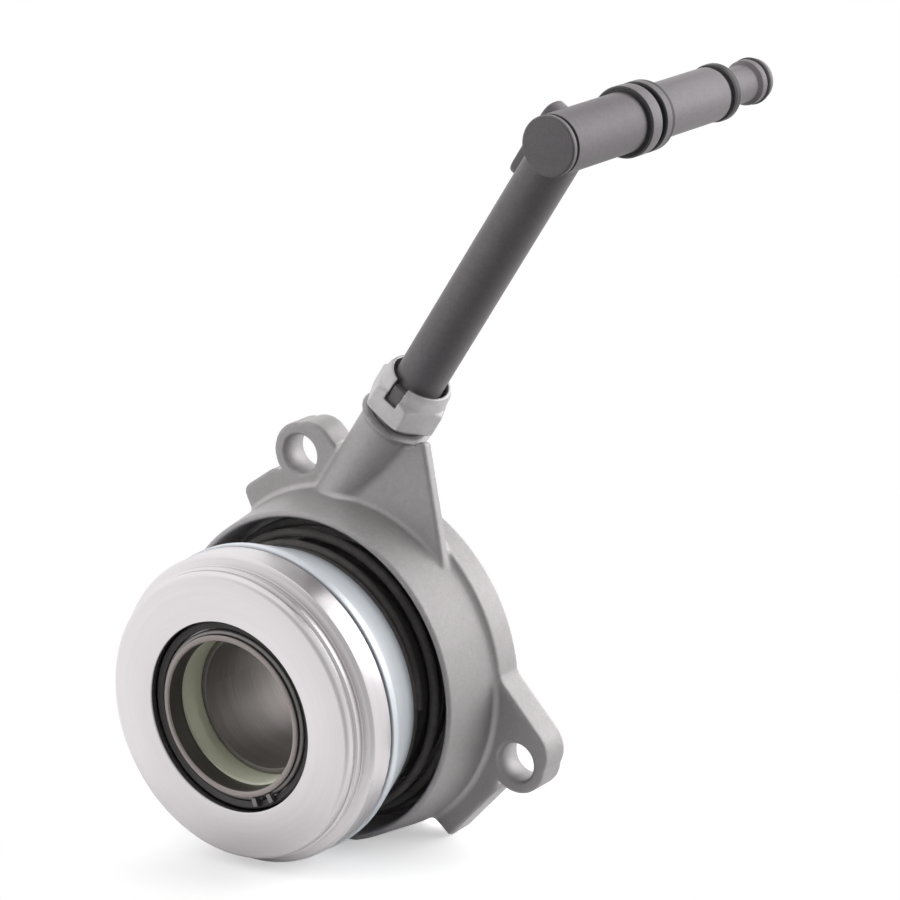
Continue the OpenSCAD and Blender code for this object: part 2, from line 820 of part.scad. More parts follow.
// Outline of the spigot as radius and reach
function spigot_outline() = [
  [0, cap_t - cap_reach],
  [spigot_r, cap_t - cap_reach],
  [spigot_r, ridge_at],
  [ridge_r - 0.4, ridge_at],
  [ridge_r, ridge_at + 0.5],
  [ridge_r, ridge_at + 3.7],
  [ridge_r - 0.2, ridge_at + 3.9],
  [spigot_r, ridge_at + 4],
  [spigot_r, ridge_at + 5.4],
  [ridge_r - 0.3, ridge_at + 5.5],
  [ridge_r, ridge_at + 5.8],
  [ridge_r, ridge_at + 8.4],
  [ridge_r - 0.3, ridge_at + 8.8],
  [sleeve_r + 0.5, ridge_at + 9],
  [sleeve_r, ridge_at + 9.8],
  [sleeve_r, flare_at - 2],
  [sleeve_r - 0.4, flare_at - 1.8],
  [sleeve_r - 0.4, flare_at - 0.9],
  [sleeve_r + 0.2, flare_at - 0.7],
  [flare_r, flare_at],
  [flare_r, flare_at + 1.4],
  [flare_r - 0.4, flare_at + 1.8],
  [neck_r + 0.6, flare_at + 2.2],
  [neck_r, flare_at + 3.4],
  [neck_r, tip_ring_at - 3.6],
  [tip_r, tip_ring_at - 2.6],
  [tip_r, tip_ring_at - ring_groove_w / 2],
  [tip_ring_floor, tip_ring_at - ring_groove_w / 2],
  [tip_ring_floor, tip_ring_at + ring_groove_w / 2],
  [tip_r - 0.1, tip_ring_at + ring_groove_w / 2],
  [tip_r - 0.2, spigot_len - 1.2],
  [tip_r - 1.2, spigot_len],
  [0, spigot_len]
];

// Moulded pipe with its foot, collar, key, elbow, side tab and spigot
module feed_pipe() {
  tab_foot = elbow_h - 14;
  tab_top = elbow_h + 3.9;
  tab_round = 3.1;
  tab_t = 2.4;
  color([0.3, 0.28, 0.29])
    difference() {
      union() {
        on_pipe() {
          rotate_extrude()
            polygon([
              [0, socket_foot],
              [socket_r - 0.6, socket_foot],
              [socket_r - 0.1, socket_foot + 0.6],
              [socket_r - 0.1, foot_ring_at - 0.6],
              [foot_ring_floor, foot_ring_at - 0.6],
              [foot_ring_floor, foot_ring_at + 0.6],
              [socket_r - 0.1, foot_ring_at + 0.6],
              [socket_r - 0.1, collar_foot],
              [collar_r, collar_foot],
              [collar_r, collar_foot + collar_t],
              [pipe_r, collar_foot + collar_t],
              [pipe_r, elbow_h],
              [0, elbow_h]
            ]);
          translate([-pipe_r - 1.4, -key_w / 2, collar_foot + collar_t])
            cube([4, key_w, key_h]);
          translate([0, pipe_r + 1.9, 0])
            rotate([90, 0, 0])
              linear_extrude(tab_t) {
                translate([-0.6, tab_foot + tab_round]) square([6.6, tab_top - tab_foot - 2 * tab_round]);
                translate([tab_round - 0.6, tab_foot]) square([6.6 - 2 * tab_round, tab_top - tab_foot]);
                for (x = [tab_round - 0.6, 6 - tab_round], z = [tab_foot + tab_round, tab_top - tab_round])
                  translate([x, z]) circle(tab_round, $fn = 32);
              }
        }
        on_spigot() rotate_extrude() polygon(spigot_outline());
      }
      on_pipe() translate([0, 0, socket_foot - 1]) cylinder(r = pipe_bore_r, h = elbow_h - socket_foot + 1);
      on_spigot() translate([0, 0, -cap_reach]) cylinder(r = pipe_bore_r, h = spigot_len + 2 * cap_reach);
      on_spigot() translate([0, 0, -cap_reach - 2]) cylinder(r = spigot_r + push_gap, h = cap_t + 2);
    }
}

// Cap that closes the elbow where the bore was cored
module elbow_cap() {
  edge = 1.1;
  color([0.33, 0.31, 0.32])
    on_spigot()
      rotate_extrude()
        polygon(concat(
          [[0, -cap_reach]],
          arc([spigot_r - edge, edge - cap_reach], edge, 270, 360, 6),
          [
            [spigot_r, cap_t - cap_reach],
            [pipe_bore_r - push_gap, cap_t - cap_reach],
            [pipe_bore_r - push_gap, cap_t - cap_reach + 2],
            [0, cap_t - cap_reach + 2]
          ]
        ));
}

// Hexagonal retainer, pushed into the boss and closed over the pipe's collar
module pipe_retainer() {
  top = hex_foot + hex_h;
  corner_r = hex_flats / 2 / cos(30);
  color("silver")
    on_pipe()
      difference() {
        union() {
          intersection() {
            translate([0, 0, hex_foot]) rotate([0, 0, 30]) cylinder(r = corner_r, h = hex_h, $fn = 6);
            rotate_extrude()
              polygon([
                [0, hex_foot - 1],
                [corner_r - 0.6, hex_foot - 1],
                [corner_r - 0.6, hex_foot],
                [corner_r + 0.1, hex_foot + 0.5],
                [corner_r + 0.1, hex_foot + 5.2],
                [hex_flats / 2 - 0.05, hex_foot + 6.2],
                [hex_flats / 2 - 0.3, top - 0.9],
                [hex_flats / 2 - 0.7, top - 0.1],
                [hex_flats / 2 - 0.9, top],
                [0, top]
              ]);
          }
          translate([0, 0, boss_top - skirt_len]) cylinder(r = skirt_r, h = skirt_len + hex_lift + 0.5);
        }
        translate([0, 0, boss_top - skirt_len - 1]) cylinder(r = socket_r + push_gap, h = hex_h);
        translate([0, 0, collar_foot]) cylinder(r = collar_r + 0.1, h = collar_t);
        translate([0, 0, collar_foot]) cylinder(r = retainer_hole_r, h = hex_h + 1);
        translate([-12, -key_w / 2 - 0.15, collar_foot + collar_t - hex_gap])
          cube([12, key_w + 0.3, hex_h]);
      }
}

module pipe_oring() {
  color("black")
    on_pipe()
      translate([0, 0, foot_ring_at])
        o_ring(foot_ring_floor + 0.02 + foot_ring_d / 2, foot_ring_d);
}

module spigot_oring() {
  color("black")
    on_spigot()
      translate([0, 0, tip_ring_at])
        o_ring(tip_ring_floor + 0.02 + tip_ring_d / 2, tip_ring_d);
}

housing();
guide_tube();
tube_oring();
piston();
guide_bush();
piston_seal();
seal_backing_ring();
dust_boot();
preload_spring();
spring_seat();
bearing_shell();
centring_washer();
inner_race();
release_ring();
bearing_balls();
ball_cage();
front_seal();
rear_seal();
snap_ring();
feed_pipe();
elbow_cap();
pipe_retainer();
pipe_oring();
spigot_oring();
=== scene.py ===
"""Dress of a concentric slave cylinder: fine meshes, finishes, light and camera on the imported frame."""
import logging
import math
from dataclasses import dataclass
from enum import Enum
from typing import Callable, Sequence

import bmesh
import bpy
import numpy as np
from mathutils import Matrix, Vector


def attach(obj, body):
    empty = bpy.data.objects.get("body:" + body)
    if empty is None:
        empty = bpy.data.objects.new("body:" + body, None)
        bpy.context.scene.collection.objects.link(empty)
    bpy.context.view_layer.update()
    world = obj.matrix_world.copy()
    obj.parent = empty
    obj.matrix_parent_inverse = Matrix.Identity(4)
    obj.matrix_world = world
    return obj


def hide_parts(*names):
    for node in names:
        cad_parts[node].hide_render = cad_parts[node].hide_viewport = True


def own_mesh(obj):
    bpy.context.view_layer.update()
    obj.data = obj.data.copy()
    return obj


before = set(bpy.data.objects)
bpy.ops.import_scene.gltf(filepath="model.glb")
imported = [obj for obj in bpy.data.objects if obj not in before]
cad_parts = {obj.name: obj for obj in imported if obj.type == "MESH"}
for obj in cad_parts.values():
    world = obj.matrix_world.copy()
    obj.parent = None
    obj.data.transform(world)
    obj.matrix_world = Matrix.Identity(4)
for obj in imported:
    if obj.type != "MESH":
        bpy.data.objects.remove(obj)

LOG = logging.getLogger("slave_cylinder")
MM = 0.001
TINY = 1e-6
CORNER_SHARE = 0.48
FLATTEST_CORNER = math.radians(86)
RELIEF_DEPTH = 0.9
SNAP_ROUNDS = 3
SNAP_SHARE = 0.9
Point = tuple[float, float]
Outline = list[Point]


# ---------------------------------------------------------------- shared places and shapes

class Lay(Enum):
    """Which axis a turned shape stands on."""
    SHAFT = "shaft"
    PIPE = "pipe"
    SPIGOT = "spigot"


@dataclass(frozen=True)
class Places:
    """Sizes that more than one piece shares, in millimetres along the shaft and the pipe."""
    pipe_angle: float = math.radians(57.3)
    pipe_offset: float = 20.44
    pipe_fwd: float = 4.0
    elbow_h: float = 127.3
    tube_bore_r: float = 14.2
    nose_r: float = 17.4
    face_fwd: float = 47.8
    face_hole_r: float = 20.3
    ring_r: float = 33.0
    ring_rear_fwd: float = 36.6
    shell_r: float = 33.3
    shell_rear_fwd: float = 26.5
    tail_r: float = 29.25
    tail_fwd: float = 23.8
    seat_fwd: float = 22.6
    cup_floor: float = 9.0
    race_front_fwd: float = 45.2

    def pipe_point(self, x: np.ndarray, y: np.ndarray, z: np.ndarray) -> np.ndarray:
        """Row-frame place of points in the pipe's own frame.

        Args:
            x: Own x, which runs back along the spigot.
            y: Own y, across the pipe.
            z: Own z, up the pipe.
        Returns:
            The places as an (n, 3) array in millimetres.
        """
        c, s = math.cos(self.pipe_angle), math.sin(self.pipe_angle)
        side = y + self.pipe_offset
        return np.stack([z * c - side * s, x - self.pipe_fwd, z * s + side * c], axis=-1)

    def lay(self, way: Lay, a: np.ndarray, b: np.ndarray, h: np.ndarray) -> np.ndarray:
        """Row-frame place of points round one of the three axes.

        Args:
            way: The axis.
            a: First coordinate across the axis.
            b: Second coordinate across the axis.
            h: Coordinate along the axis.
        Returns:
            The places as an (n, 3) array in millimetres.
        """
        if way is Lay.SHAFT:
            return np.stack([a, -h, b], axis=-1)
        if way is Lay.PIPE:
            return self.pipe_point(a, b, h)
        return self.pipe_point(h, a, self.elbow_h + b)


AT = Places()


def eased(points: Sequence[tuple], steps: int = 4) -> Outline:
    """Rounds the corners of an outline.

    Args:
        points: Closed outline of (radius, height) or (radius, height, corner radius).
        steps: Pieces in each rounded corner.
    Returns:
        The outline with an arc of points at each corner that has a radius.
    """
    out: Outline = []
    n = len(points)
    for i, p in enumerate(points):
        here = np.array(p[:2], float)
        radius = p[2] if len(p) > 2 else 0.0
        to_a = np.array(points[i - 1][:2], float) - here
        to_b = np.array(points[(i + 1) % n][:2], float) - here
        la, lb = np.linalg.norm(to_a), np.linalg.norm(to_b)
        curve = [here]
        if radius > 0 and min(la, lb) >= TINY:
            ua, ub = to_a / la, to_b / lb
            half = math.acos(float(np.clip(ua @ ub, -1, 1))) / 2
            if half <= FLATTEST_CORNER:
                back = min(radius / math.tan(half), CORNER_SHARE * la, CORNER_SHARE * lb)
                start, end = here + ua * back, here + ub * back
                shares = [k / steps for k in range(steps + 1)]
                curve = [(1 - t) ** 2 * start + 2 * t * (1 - t) * here + t ** 2 * end for t in shares]
        out += [(float(q[0]), float(q[1])) for q in curve]
    return out


def mesh_object(name: str, verts: np.ndarray, faces: Sequence[Sequence[int]],
                sharp: float = 35.0) -> bpy.types.Object:
    """Makes an object of a list of places and faces.

    Args:
        name: The piece's name.
        verts: Places in millimetres, row frame.
        faces: Corner numbers of each face.
        sharp: Angle in degrees above which an edge stays crisp.
    Returns:
        The linked object, with faces outward.
    """
    mesh = bpy.data.meshes.new(name)
    mesh.from_pydata((np.asarray(verts) * MM).tolist(), [], [list(map(int, f)) for f in faces])
    bm = bmesh.new()
    bm.from_mesh(mesh)
    bmesh.ops.remove_doubles(bm, verts=bm.verts, dist=1e-7)
    bmesh.ops.recalc_face_normals(bm, faces=bm.faces)
    bm.to_mesh(mesh)
    bm.free()
    smooth(mesh, sharp)
    obj = bpy.data.objects.new(name, mesh)
    bpy.context.scene.collection.objects.link(obj)
    return obj


def smooth(mesh: bpy.types.Mesh, sharp: float) -> None:
    """Shades a mesh smooth, with crisp edges above an angle in degrees."""
    mesh.shade_smooth()
    mesh.set_sharp_from_angle(angle=math.radians(sharp))


def turned(name: str, outline: Outline, way: Lay = Lay.SHAFT, segments: int = 192,
           sweep: tuple[float, float] | None = None, sharp: float = 35.0) -> bpy.types.Object:
    """Turns an outline round an axis.

    Args:
        name: The piece's name.
        outline: Closed outline of (radius, height) in millimetres.
        way: The axis.
        segments: Pieces round the axis.
        sweep: First and last angle in degrees of an open ring, or None for a full turn.
        sharp: Angle in degrees above which an edge stays crisp.
    Returns:
        The object.
    """
    full = sweep is None
    start, end = (0.0, 360.0) if full else sweep
    count = segments if full else segments + 1
    angles = np.radians(start + (end - start) * np.arange(count) / segments)
    rows: list[np.ndarray] = []
    verts: list[np.ndarray] = []
    total = 0
    for r, h in outline:
        if r < TINY:
            place = AT.lay(way, np.zeros(1), np.zeros(1), np.full(1, h))
            rows.append(np.full(count, total))
        else:
            place = AT.lay(way, r * np.cos(angles), r * np.sin(angles), np.full(count, h))
            rows.append(total + np.arange(count))
        verts.append(place)
        total += len(place)
    faces: list[tuple] = []
    for a, b in zip(rows, rows[1:] + rows[:1]):
        for j in range(segments):
            k = (j + 1) % count
            corners = (a[j], a[k], b[k], b[j])
            unique = tuple(dict.fromkeys(corners))
            if len(unique) > 2:
                faces.append(unique)
    if not full:
        faces.append(tuple(row[0] for row in rows))
        faces.append(tuple(row[-1] for row in reversed(rows)))
    return mesh_object(name, np.concatenate(verts), faces, sharp)


def prism(name: str, outline: Outline, low: float, high: float, edge: float) -> bpy.types.Object:
    """Plate of a convex outline in the pipe's own x and z, with rounded edges.

    Args:
        name: The object's name.
        outline: Corners as own (x, z).
        low: Lower face, own y.
        high: Upper face, own y.
        edge: Radius of its edges.
    Returns:
        The object.
    """
    flat = np.array(outline)
    ahead, behind = np.roll(flat, -1, 0) - flat, flat - np.roll(flat, 1, 0)
    way = ahead / np.linalg.norm(ahead, axis=1)[:, None] + behind / np.linalg.norm(behind, axis=1)[:, None]
    out = np.stack([way[:, 1], -way[:, 0]], axis=1)
    out /= np.linalg.norm(out, axis=1)[:, None]
    if ((flat - flat.mean(0)) * out).sum() < 0:
        out = -out
    turns = [math.radians(30 * k) for k in range(4)]
    rows = [(edge * (1 - math.sin(t)), low + edge * (1 - math.cos(t))) for t in turns]
    rows += [(edge * (1 - math.sin(t)), high - edge * (1 - math.cos(t))) for t in reversed(turns)]
    n, last = len(flat), len(rows) - 1
    verts = np.concatenate([
        np.stack([flat[:, 0] - out[:, 0] * i, np.full(n, y), flat[:, 1] - out[:, 1] * i], axis=1) for i, y in rows])
    faces = [[k * n + j, k * n + (j + 1) % n, (k + 1) * n + (j + 1) % n, (k + 1) * n + j]
             for k in range(last) for j in range(n)]
    faces += [list(range(n)), list(range(last * n, (last + 1) * n))]
    return mesh_object(name, AT.pipe_point(*verts.T), faces)


def ring_section(mid_r: float, mid_h: float, wire: float, points: int = 20) -> Outline:
    """Round section of an O-ring or wire ring as an outline."""
    turn = [2 * math.pi * k / points for k in range(points)]
    return [(mid_r + wire / 2 * math.cos(t), mid_h + wire / 2 * math.sin(t)) for t in turn]


# ---------------------------------------------------------------- cast and moulded shapes as distance fields

Field = Callable[[np.ndarray, np.ndarray, np.ndarray], np.ndarray]


def join(a: np.ndarray, b: np.ndarray, fillet: float) -> np.ndarray:
    """Union of two distance fields with a fillet of about that size in the inner corner."""
    h = np.clip(0.5 + 0.5 * (b - a) / fillet, 0, 1)
    return b + (a - b) * h - fillet * h * (1 - h)


def outline_field(px: np.ndarray, py: np.ndarray, points: Sequence[Point]) -> np.ndarray:
    """Signed distance to a closed outline in a plane, negative inside.

    Args:
        px: First coordinates.
        py: Second coordinates.
        points: The outline's corners.
    Returns:
        The distances, in the coordinates' unit.
    """
    px, py = np.broadcast_arrays(px, py)
    best = np.full(px.shape, 1e12)
    side = np.ones(px.shape)
    n = len(points)
    for i in range(n):
        (ax, ay), (bx, by) = points[i], points[i - 1]
        ex, ey = bx - ax, by - ay
        wx, wy = px - ax, py - ay
        t = np.clip((wx * ex + wy * ey) / max(ex * ex + ey * ey, 1e-12), 0, 1)
        best = np.minimum(best, (wx - ex * t) ** 2 + (wy - ey * t) ** 2)
        up, down, left = py >= ay, py < by, ex * wy > ey * wx
        flip = (up & down & left) | ~(up | down | left)
        side = np.where(flip, -side, side)
    return side * np.sqrt(best)


def slab(flat: np.ndarray, height: np.ndarray, low: float, high: float, edge: float) -> np.ndarray:
    """Plate of an outline between two heights, with rounded edges.

    Args:
        flat: Distance to the plate's outline.
        height: Coordinate across the plate.
        low: Lower face.
        high: Upper face.
        edge: Radius of the edges.
    Returns:
        The signed distance.
    """
    a = flat + edge
    b = np.abs(height - (low + high) / 2) - (high - low) / 2 + edge
    return np.minimum(np.maximum(a, b), 0) + np.hypot(np.maximum(a, 0), np.maximum(b, 0)) - edge


def field_mesh(shape: Field, low: Sequence[float], high: Sequence[float],
               step: float) -> tuple[np.ndarray, np.ndarray]:
    """Meshes the zero level of a distance field with one quad per crossed grid edge.

    Args:
        shape: The field, of three coordinate arrays in millimetres.
        low: Lowest corner of the room that is searched.
        high: Highest corner.
        step: Grid step.
    Returns:
        The vertices (n, 3) and the quads (m, 4).
    """
    axes = [np.arange(low[i], high[i] + step, step) for i in range(3)]
    values = np.asarray(shape(axes[0][:, None, None], axes[1][None, :, None], axes[2][None, None, :]))
    inside = values < 0
    corners = [(i, j, k) for i in (0, 1) for j in (0, 1) for k in (0, 1)]
    nx, ny, nz = (d - 1 for d in values.shape)
    count = sum(inside[i:i + nx, j:j + ny, k:k + nz].astype(np.int8) for i, j, k in corners)
    cells = np.argwhere((count > 0) & (count < 8))
    number = np.full((nx, ny, nz), -1, np.int64)
    number[tuple(cells.T)] = np.arange(len(cells))
    at = np.stack([values[tuple((cells + c).T)] for c in corners], axis=1)
    total, hits = np.zeros((len(cells), 3)), np.zeros(len(cells))
    for a in range(8):
        for b in range(a + 1, 8):
            ca, cb = np.array(corners[a]), np.array(corners[b])
            if np.abs(ca - cb).sum() != 1:
                continue
            cross = (at[:, a] < 0) != (at[:, b] < 0)
            t = np.where(cross, at[:, a] / np.where(cross, at[:, a] - at[:, b], 1), 0)
            total += cross[:, None] * (ca + t[:, None] * (cb - ca))
            hits += cross
    verts = np.array([axes[i][0] for i in range(3)]) + step * (cells + total / hits[:, None])
    quads = []
    for axis in range(3):
        u, v = (axis + 1) % 3, (axis + 2) % 3
        near = [slice(1, -1)] * 3
        near[axis] = slice(0, -1)
        far = list(near)
        far[axis] = slice(1, None)
        first, second = inside[tuple(near)], inside[tuple(far)]
        for edge in np.argwhere(first != second):
            node = edge.copy()
            node[u] += 1
            node[v] += 1
            around = []
            for du, dv in ((-1, -1), (0, -1), (0, 0), (-1, 0)):
                cell = node.copy()
                cell[u] += du
                cell[v] += dv
                around.append(number[tuple(cell)])
            quads.append(around if first[tuple(edge)] else around[::-1])
    for _ in range(SNAP_ROUNDS):
        value, slope = field_slope(shape, verts)
        verts = verts - (value / np.maximum((slope ** 2).sum(1), TINY))[:, None] * slope * SNAP_SHARE
    return verts, np.array(quads)


def field_slope(shape: Field, at: np.ndarray, reach: float = 0.02) -> tuple[np.ndarray, np.ndarray]:
    """Value and slope of a distance field at given places.

    Args:
        shape: The field.
        at: Places (n, 3).
        reach: Half step of the differences.
    Returns:
        The values (n) and slopes (n, 3).
    """
    slope = np.zeros_like(at)
    for i in range(3):
        up, down = at.copy(), at.copy()
        up[:, i] += reach
        down[:, i] -= reach
        slope[:, i] = (shape(*up.T) - shape(*down.T)) / (2 * reach)
    return np.asarray(shape(*at.T)), slope


def field_object(name: str, shape: Field, low: Sequence[float], high: Sequence[float], step: float,
                 to_row: Callable[[np.ndarray], np.ndarray], sharp: float = 50.0) -> bpy.types.Object:
    """Object of a distance field, with vertex values that mark outer edges and inner corners.

    Args:
        name: The piece's name.
        shape: The field in its own coordinates.
        low: Lowest corner of the room.
        high: Highest corner.
        step: Grid step.
        to_row: Takes own places to the row frame.
        sharp: Angle in degrees above which an edge stays crisp.
    Returns:
        The object.
    """
    verts, quads = field_mesh(shape, low, high, step)
    _, slope = field_slope(shape, verts)
    out = slope / np.maximum(np.linalg.norm(slope, axis=1), 1e-9)[:, None]
    inward, outward = verts - out * RELIEF_DEPTH, verts + out * RELIEF_DEPTH
    edge = np.clip(1 + shape(*inward.T) / RELIEF_DEPTH, 0, 1)
    crease = np.clip(1 - shape(*outward.T) / RELIEF_DEPTH, 0, 1)
    obj = mesh_object(name, to_row(verts), quads, sharp)
    if len(obj.data.vertices) == len(verts):
        for label, values in (("edge", edge), ("crease", crease)):
            layer = obj.data.attributes.new(label, "FLOAT", "POINT")
            layer.data.foreach_set("value", values.astype(np.float32))
    return obj


def boolean(target: bpy.types.Object, tool: bpy.types.Object, operation: str) -> None:
    """Cuts a shape out of a piece, or joins one to it, and drops the tool.

    Args:
        target: The piece that is changed.
        tool: The cutter or the addition.
        operation: DIFFERENCE or UNION.
    """
    step = target.modifiers.new("cut", "BOOLEAN")
    step.operation = operation
    step.object = tool
    step.solver = "MANIFOLD"
    graph = bpy.context.evaluated_depsgraph_get()
    result = bpy.data.meshes.new_from_object(target.evaluated_get(graph), preserve_all_data_layers=True,
                                             depsgraph=graph)
    target.modifiers.remove(step)
    old = target.data
    target.data = result
    result.name = target.name
    bpy.data.meshes.remove(old)
    bpy.data.objects.remove(tool)


def paint_index(obj: bpy.types.Object, index: int) -> None:
    """Gives all faces of an object the same material number."""
    obj.data.polygons.foreach_set("material_index", [index] * len(obj.data.polygons))


# ---------------------------------------------------------------- finishes

class Pattern(Enum):
    """Shader node group that varies a finish."""
    GRAIN = "blasted_grain"
    RINGS = "turned_rings"
    SMUDGE = "handling_smudge"


class Graph:
    """Short calls for building a shader or geometry node tree."""

    def __init__(self, tree: bpy.types.NodeTree) -> None:
        """Keeps the tree that nodes are added to."""
        self.tree = tree

    def add(self, kind: str, **settings: object) -> bpy.types.Node:
        """Adds a node and sets its properties by name."""
        node = self.tree.nodes.new(kind)
        for key, value in settings.items():
            setattr(node, key, value)
        return node

    def put(self, node: bpy.types.Node, **values: object) -> bpy.types.Node:
        """Sets inputs by name, underscores for spaces: a socket is linked, other values are set."""
        for key, value in values.items():
            self.feed(node.inputs[key.replace("_", " ")], value)
        return node

    def feed(self, socket: bpy.types.NodeSocket, value: object) -> None:
        """Links a socket to an input, or sets its value."""
        if isinstance(value, bpy.types.NodeSocket):
            self.tree.links.new(value, socket)
        else:
            socket.default_value = value

    def math(self, operation: str, a: object, b: object = 0.0, c: object = 0.0) -> bpy.types.NodeSocket:
        """Result of a Math node."""
        node = self.add("ShaderNodeMath", operation=operation)
        for socket, value in zip(node.inputs, (a, b, c)):
            self.feed(socket, value)
        return node.outputs[0]

    def weighted(self, *terms: tuple[object, float]) -> bpy.types.NodeSocket:
        """Sum of values, each times its own weight."""
        parts = [self.math("MULTIPLY", value, weight) for value, weight in terms]
        total = parts[0]
        for part in parts[1:]:
            total = self.math("ADD", total, part)
        return total

    def noise(self, vector: bpy.types.NodeSocket, scale: object, detail: float = 2.0,
              rough: float = 0.5) -> bpy.types.NodeSocket:
        """Value of a noise texture."""
        node = self.add("ShaderNodeTexNoise")
        self.put(node, Vector=vector, Scale=scale, Detail=detail, Roughness=rough)
        return node.outputs["Fac"]

    def spread(self, value: object, low: float, high: float, to_low: float = 0.0,
               to_high: float = 1.0) -> bpy.types.NodeSocket:
        """Value moved from one range to another, and kept in it."""
        node = self.add("ShaderNodeMapRange", clamp=True)
        for socket, item in zip(node.inputs, (value, low, high, to_low, to_high)):
            self.feed(socket, item)
        return node.outputs[0]

    def mix(self, factor: object, a: object, b: object) -> bpy.types.NodeSocket:
        """Colour between two colours."""
        node = self.add("ShaderNodeMix", data_type="RGBA")
        self.feed(node.inputs[0], factor)
        self.feed(node.inputs[6], a)
        self.feed(node.inputs[7], b)
        return node.outputs[2]


def new_group(name: str, size: str, default: float,
              outputs: Sequence[str]) -> tuple[Graph, bpy.types.Node, bpy.types.Node]:
    """Starts a shader node group that takes a place and one size.

    Args:
        name: The group's name.
        size: Name of the input that sets the pattern's size.
        default: That input's first value.
        outputs: Names of the values that it puts out.
    Returns:
        The graph, and its input and output nodes.
    """
    tree = bpy.data.node_groups.new(name, "ShaderNodeTree")
    tree.interface.new_socket(name="Vector", in_out="INPUT", socket_type="NodeSocketVector")
    tree.interface.new_socket(name=size, in_out="INPUT", socket_type="NodeSocketFloat").default_value = default
    for key in outputs:
        tree.interface.new_socket(name=key, in_out="OUTPUT", socket_type="NodeSocketFloat")
    graph = Graph(tree)
    return graph, graph.add("NodeGroupInput"), graph.add("NodeGroupOutput")


def blasted_group() -> None:
    """Fine blasted grain of a casting: a tone and a height from three sizes of noise."""
    g, i, o = new_group(Pattern.GRAIN.value, "Grain", 2600.0, ("Tone", "Height"))
    vector, grain = i.outputs["Vector"], i.outputs["Grain"]
    fine = g.noise(vector, grain, 3.0, 0.6)
    coarse = g.noise(vector, g.math("MULTIPLY", grain, 0.28))
    broad = g.noise(vector, 55.0, 3.0)
    tone = g.weighted((fine, 0.45), (coarse, 0.25), (broad, 0.3))
    g.put(o, Tone=g.spread(tone, 0.32, 0.68), Height=g.weighted((fine, 0.7), (coarse, 0.5)))


def turned_group() -> None:
    """Rings left by turning or grinding round the shaft: a tone and a height."""
    g, i, o = new_group(Pattern.RINGS.value, "Rings", 3200.0, ("Tone", "Height"))
    part = g.add("ShaderNodeSeparateXYZ")
    g.put(part, Vector=i.outputs["Vector"])
    x, y, z = part.outputs
    radius = g.math("SQRT", g.math("ADD", g.math("MULTIPLY", x, x), g.math("MULTIPLY", z, z)))
    place_on = g.add("ShaderNodeCombineXYZ")
    g.put(place_on, X=radius, Y=y, Z=g.math("MULTIPLY", g.math("ARCTAN2", z, x), 0.0006))
    fine = g.noise(place_on.outputs[0], i.outputs["Rings"], 3.0, 0.65)
    wide = g.noise(place_on.outputs[0], g.math("MULTIPLY", i.outputs["Rings"], 0.16))
    g.put(o, Tone=g.spread(g.weighted((fine, 0.5), (wide, 0.5)), 0.34, 0.66), Height=fine)


def smudge_group() -> None:
    """Broad uneven handling marks: a tone from soft noise."""
    g, i, o = new_group(Pattern.SMUDGE.value, "Size", 60.0, ("Tone",))
    vector, size = i.outputs["Vector"], i.outputs["Size"]
    broad = g.noise(vector, size, 4.0, 0.55)
    small = g.noise(vector, g.math("MULTIPLY", size, 5.3), 3.0)
    g.put(o, Tone=g.spread(g.weighted((broad, 0.7), (small, 0.3)), 0.33, 0.67))


def relief_group() -> None:
    """Lighter outer edges, partly wear and partly painted highlight, and a value for inner corners that finishes turn
    into painted light or shade, from a piece's own vertex values.
    """
    g, i, o = new_group("edge_relief", "Break", 420.0, ("Edge", "Corner"))
    noise = g.noise(i.outputs["Vector"], i.outputs["Break"], 3.0)
    edge = g.add("ShaderNodeAttribute", attribute_name="edge")
    crease = g.add("ShaderNodeAttribute", attribute_name="crease")
    worn_and_lit = g.math("ADD", edge.outputs["Fac"], g.math("MULTIPLY", g.math("SUBTRACT", noise, 0.5), 0.35))
    g.put(o, Edge=g.spread(worn_and_lit, 0.2, 0.6), Corner=g.spread(crease.outputs["Fac"], 0.12, 0.35))


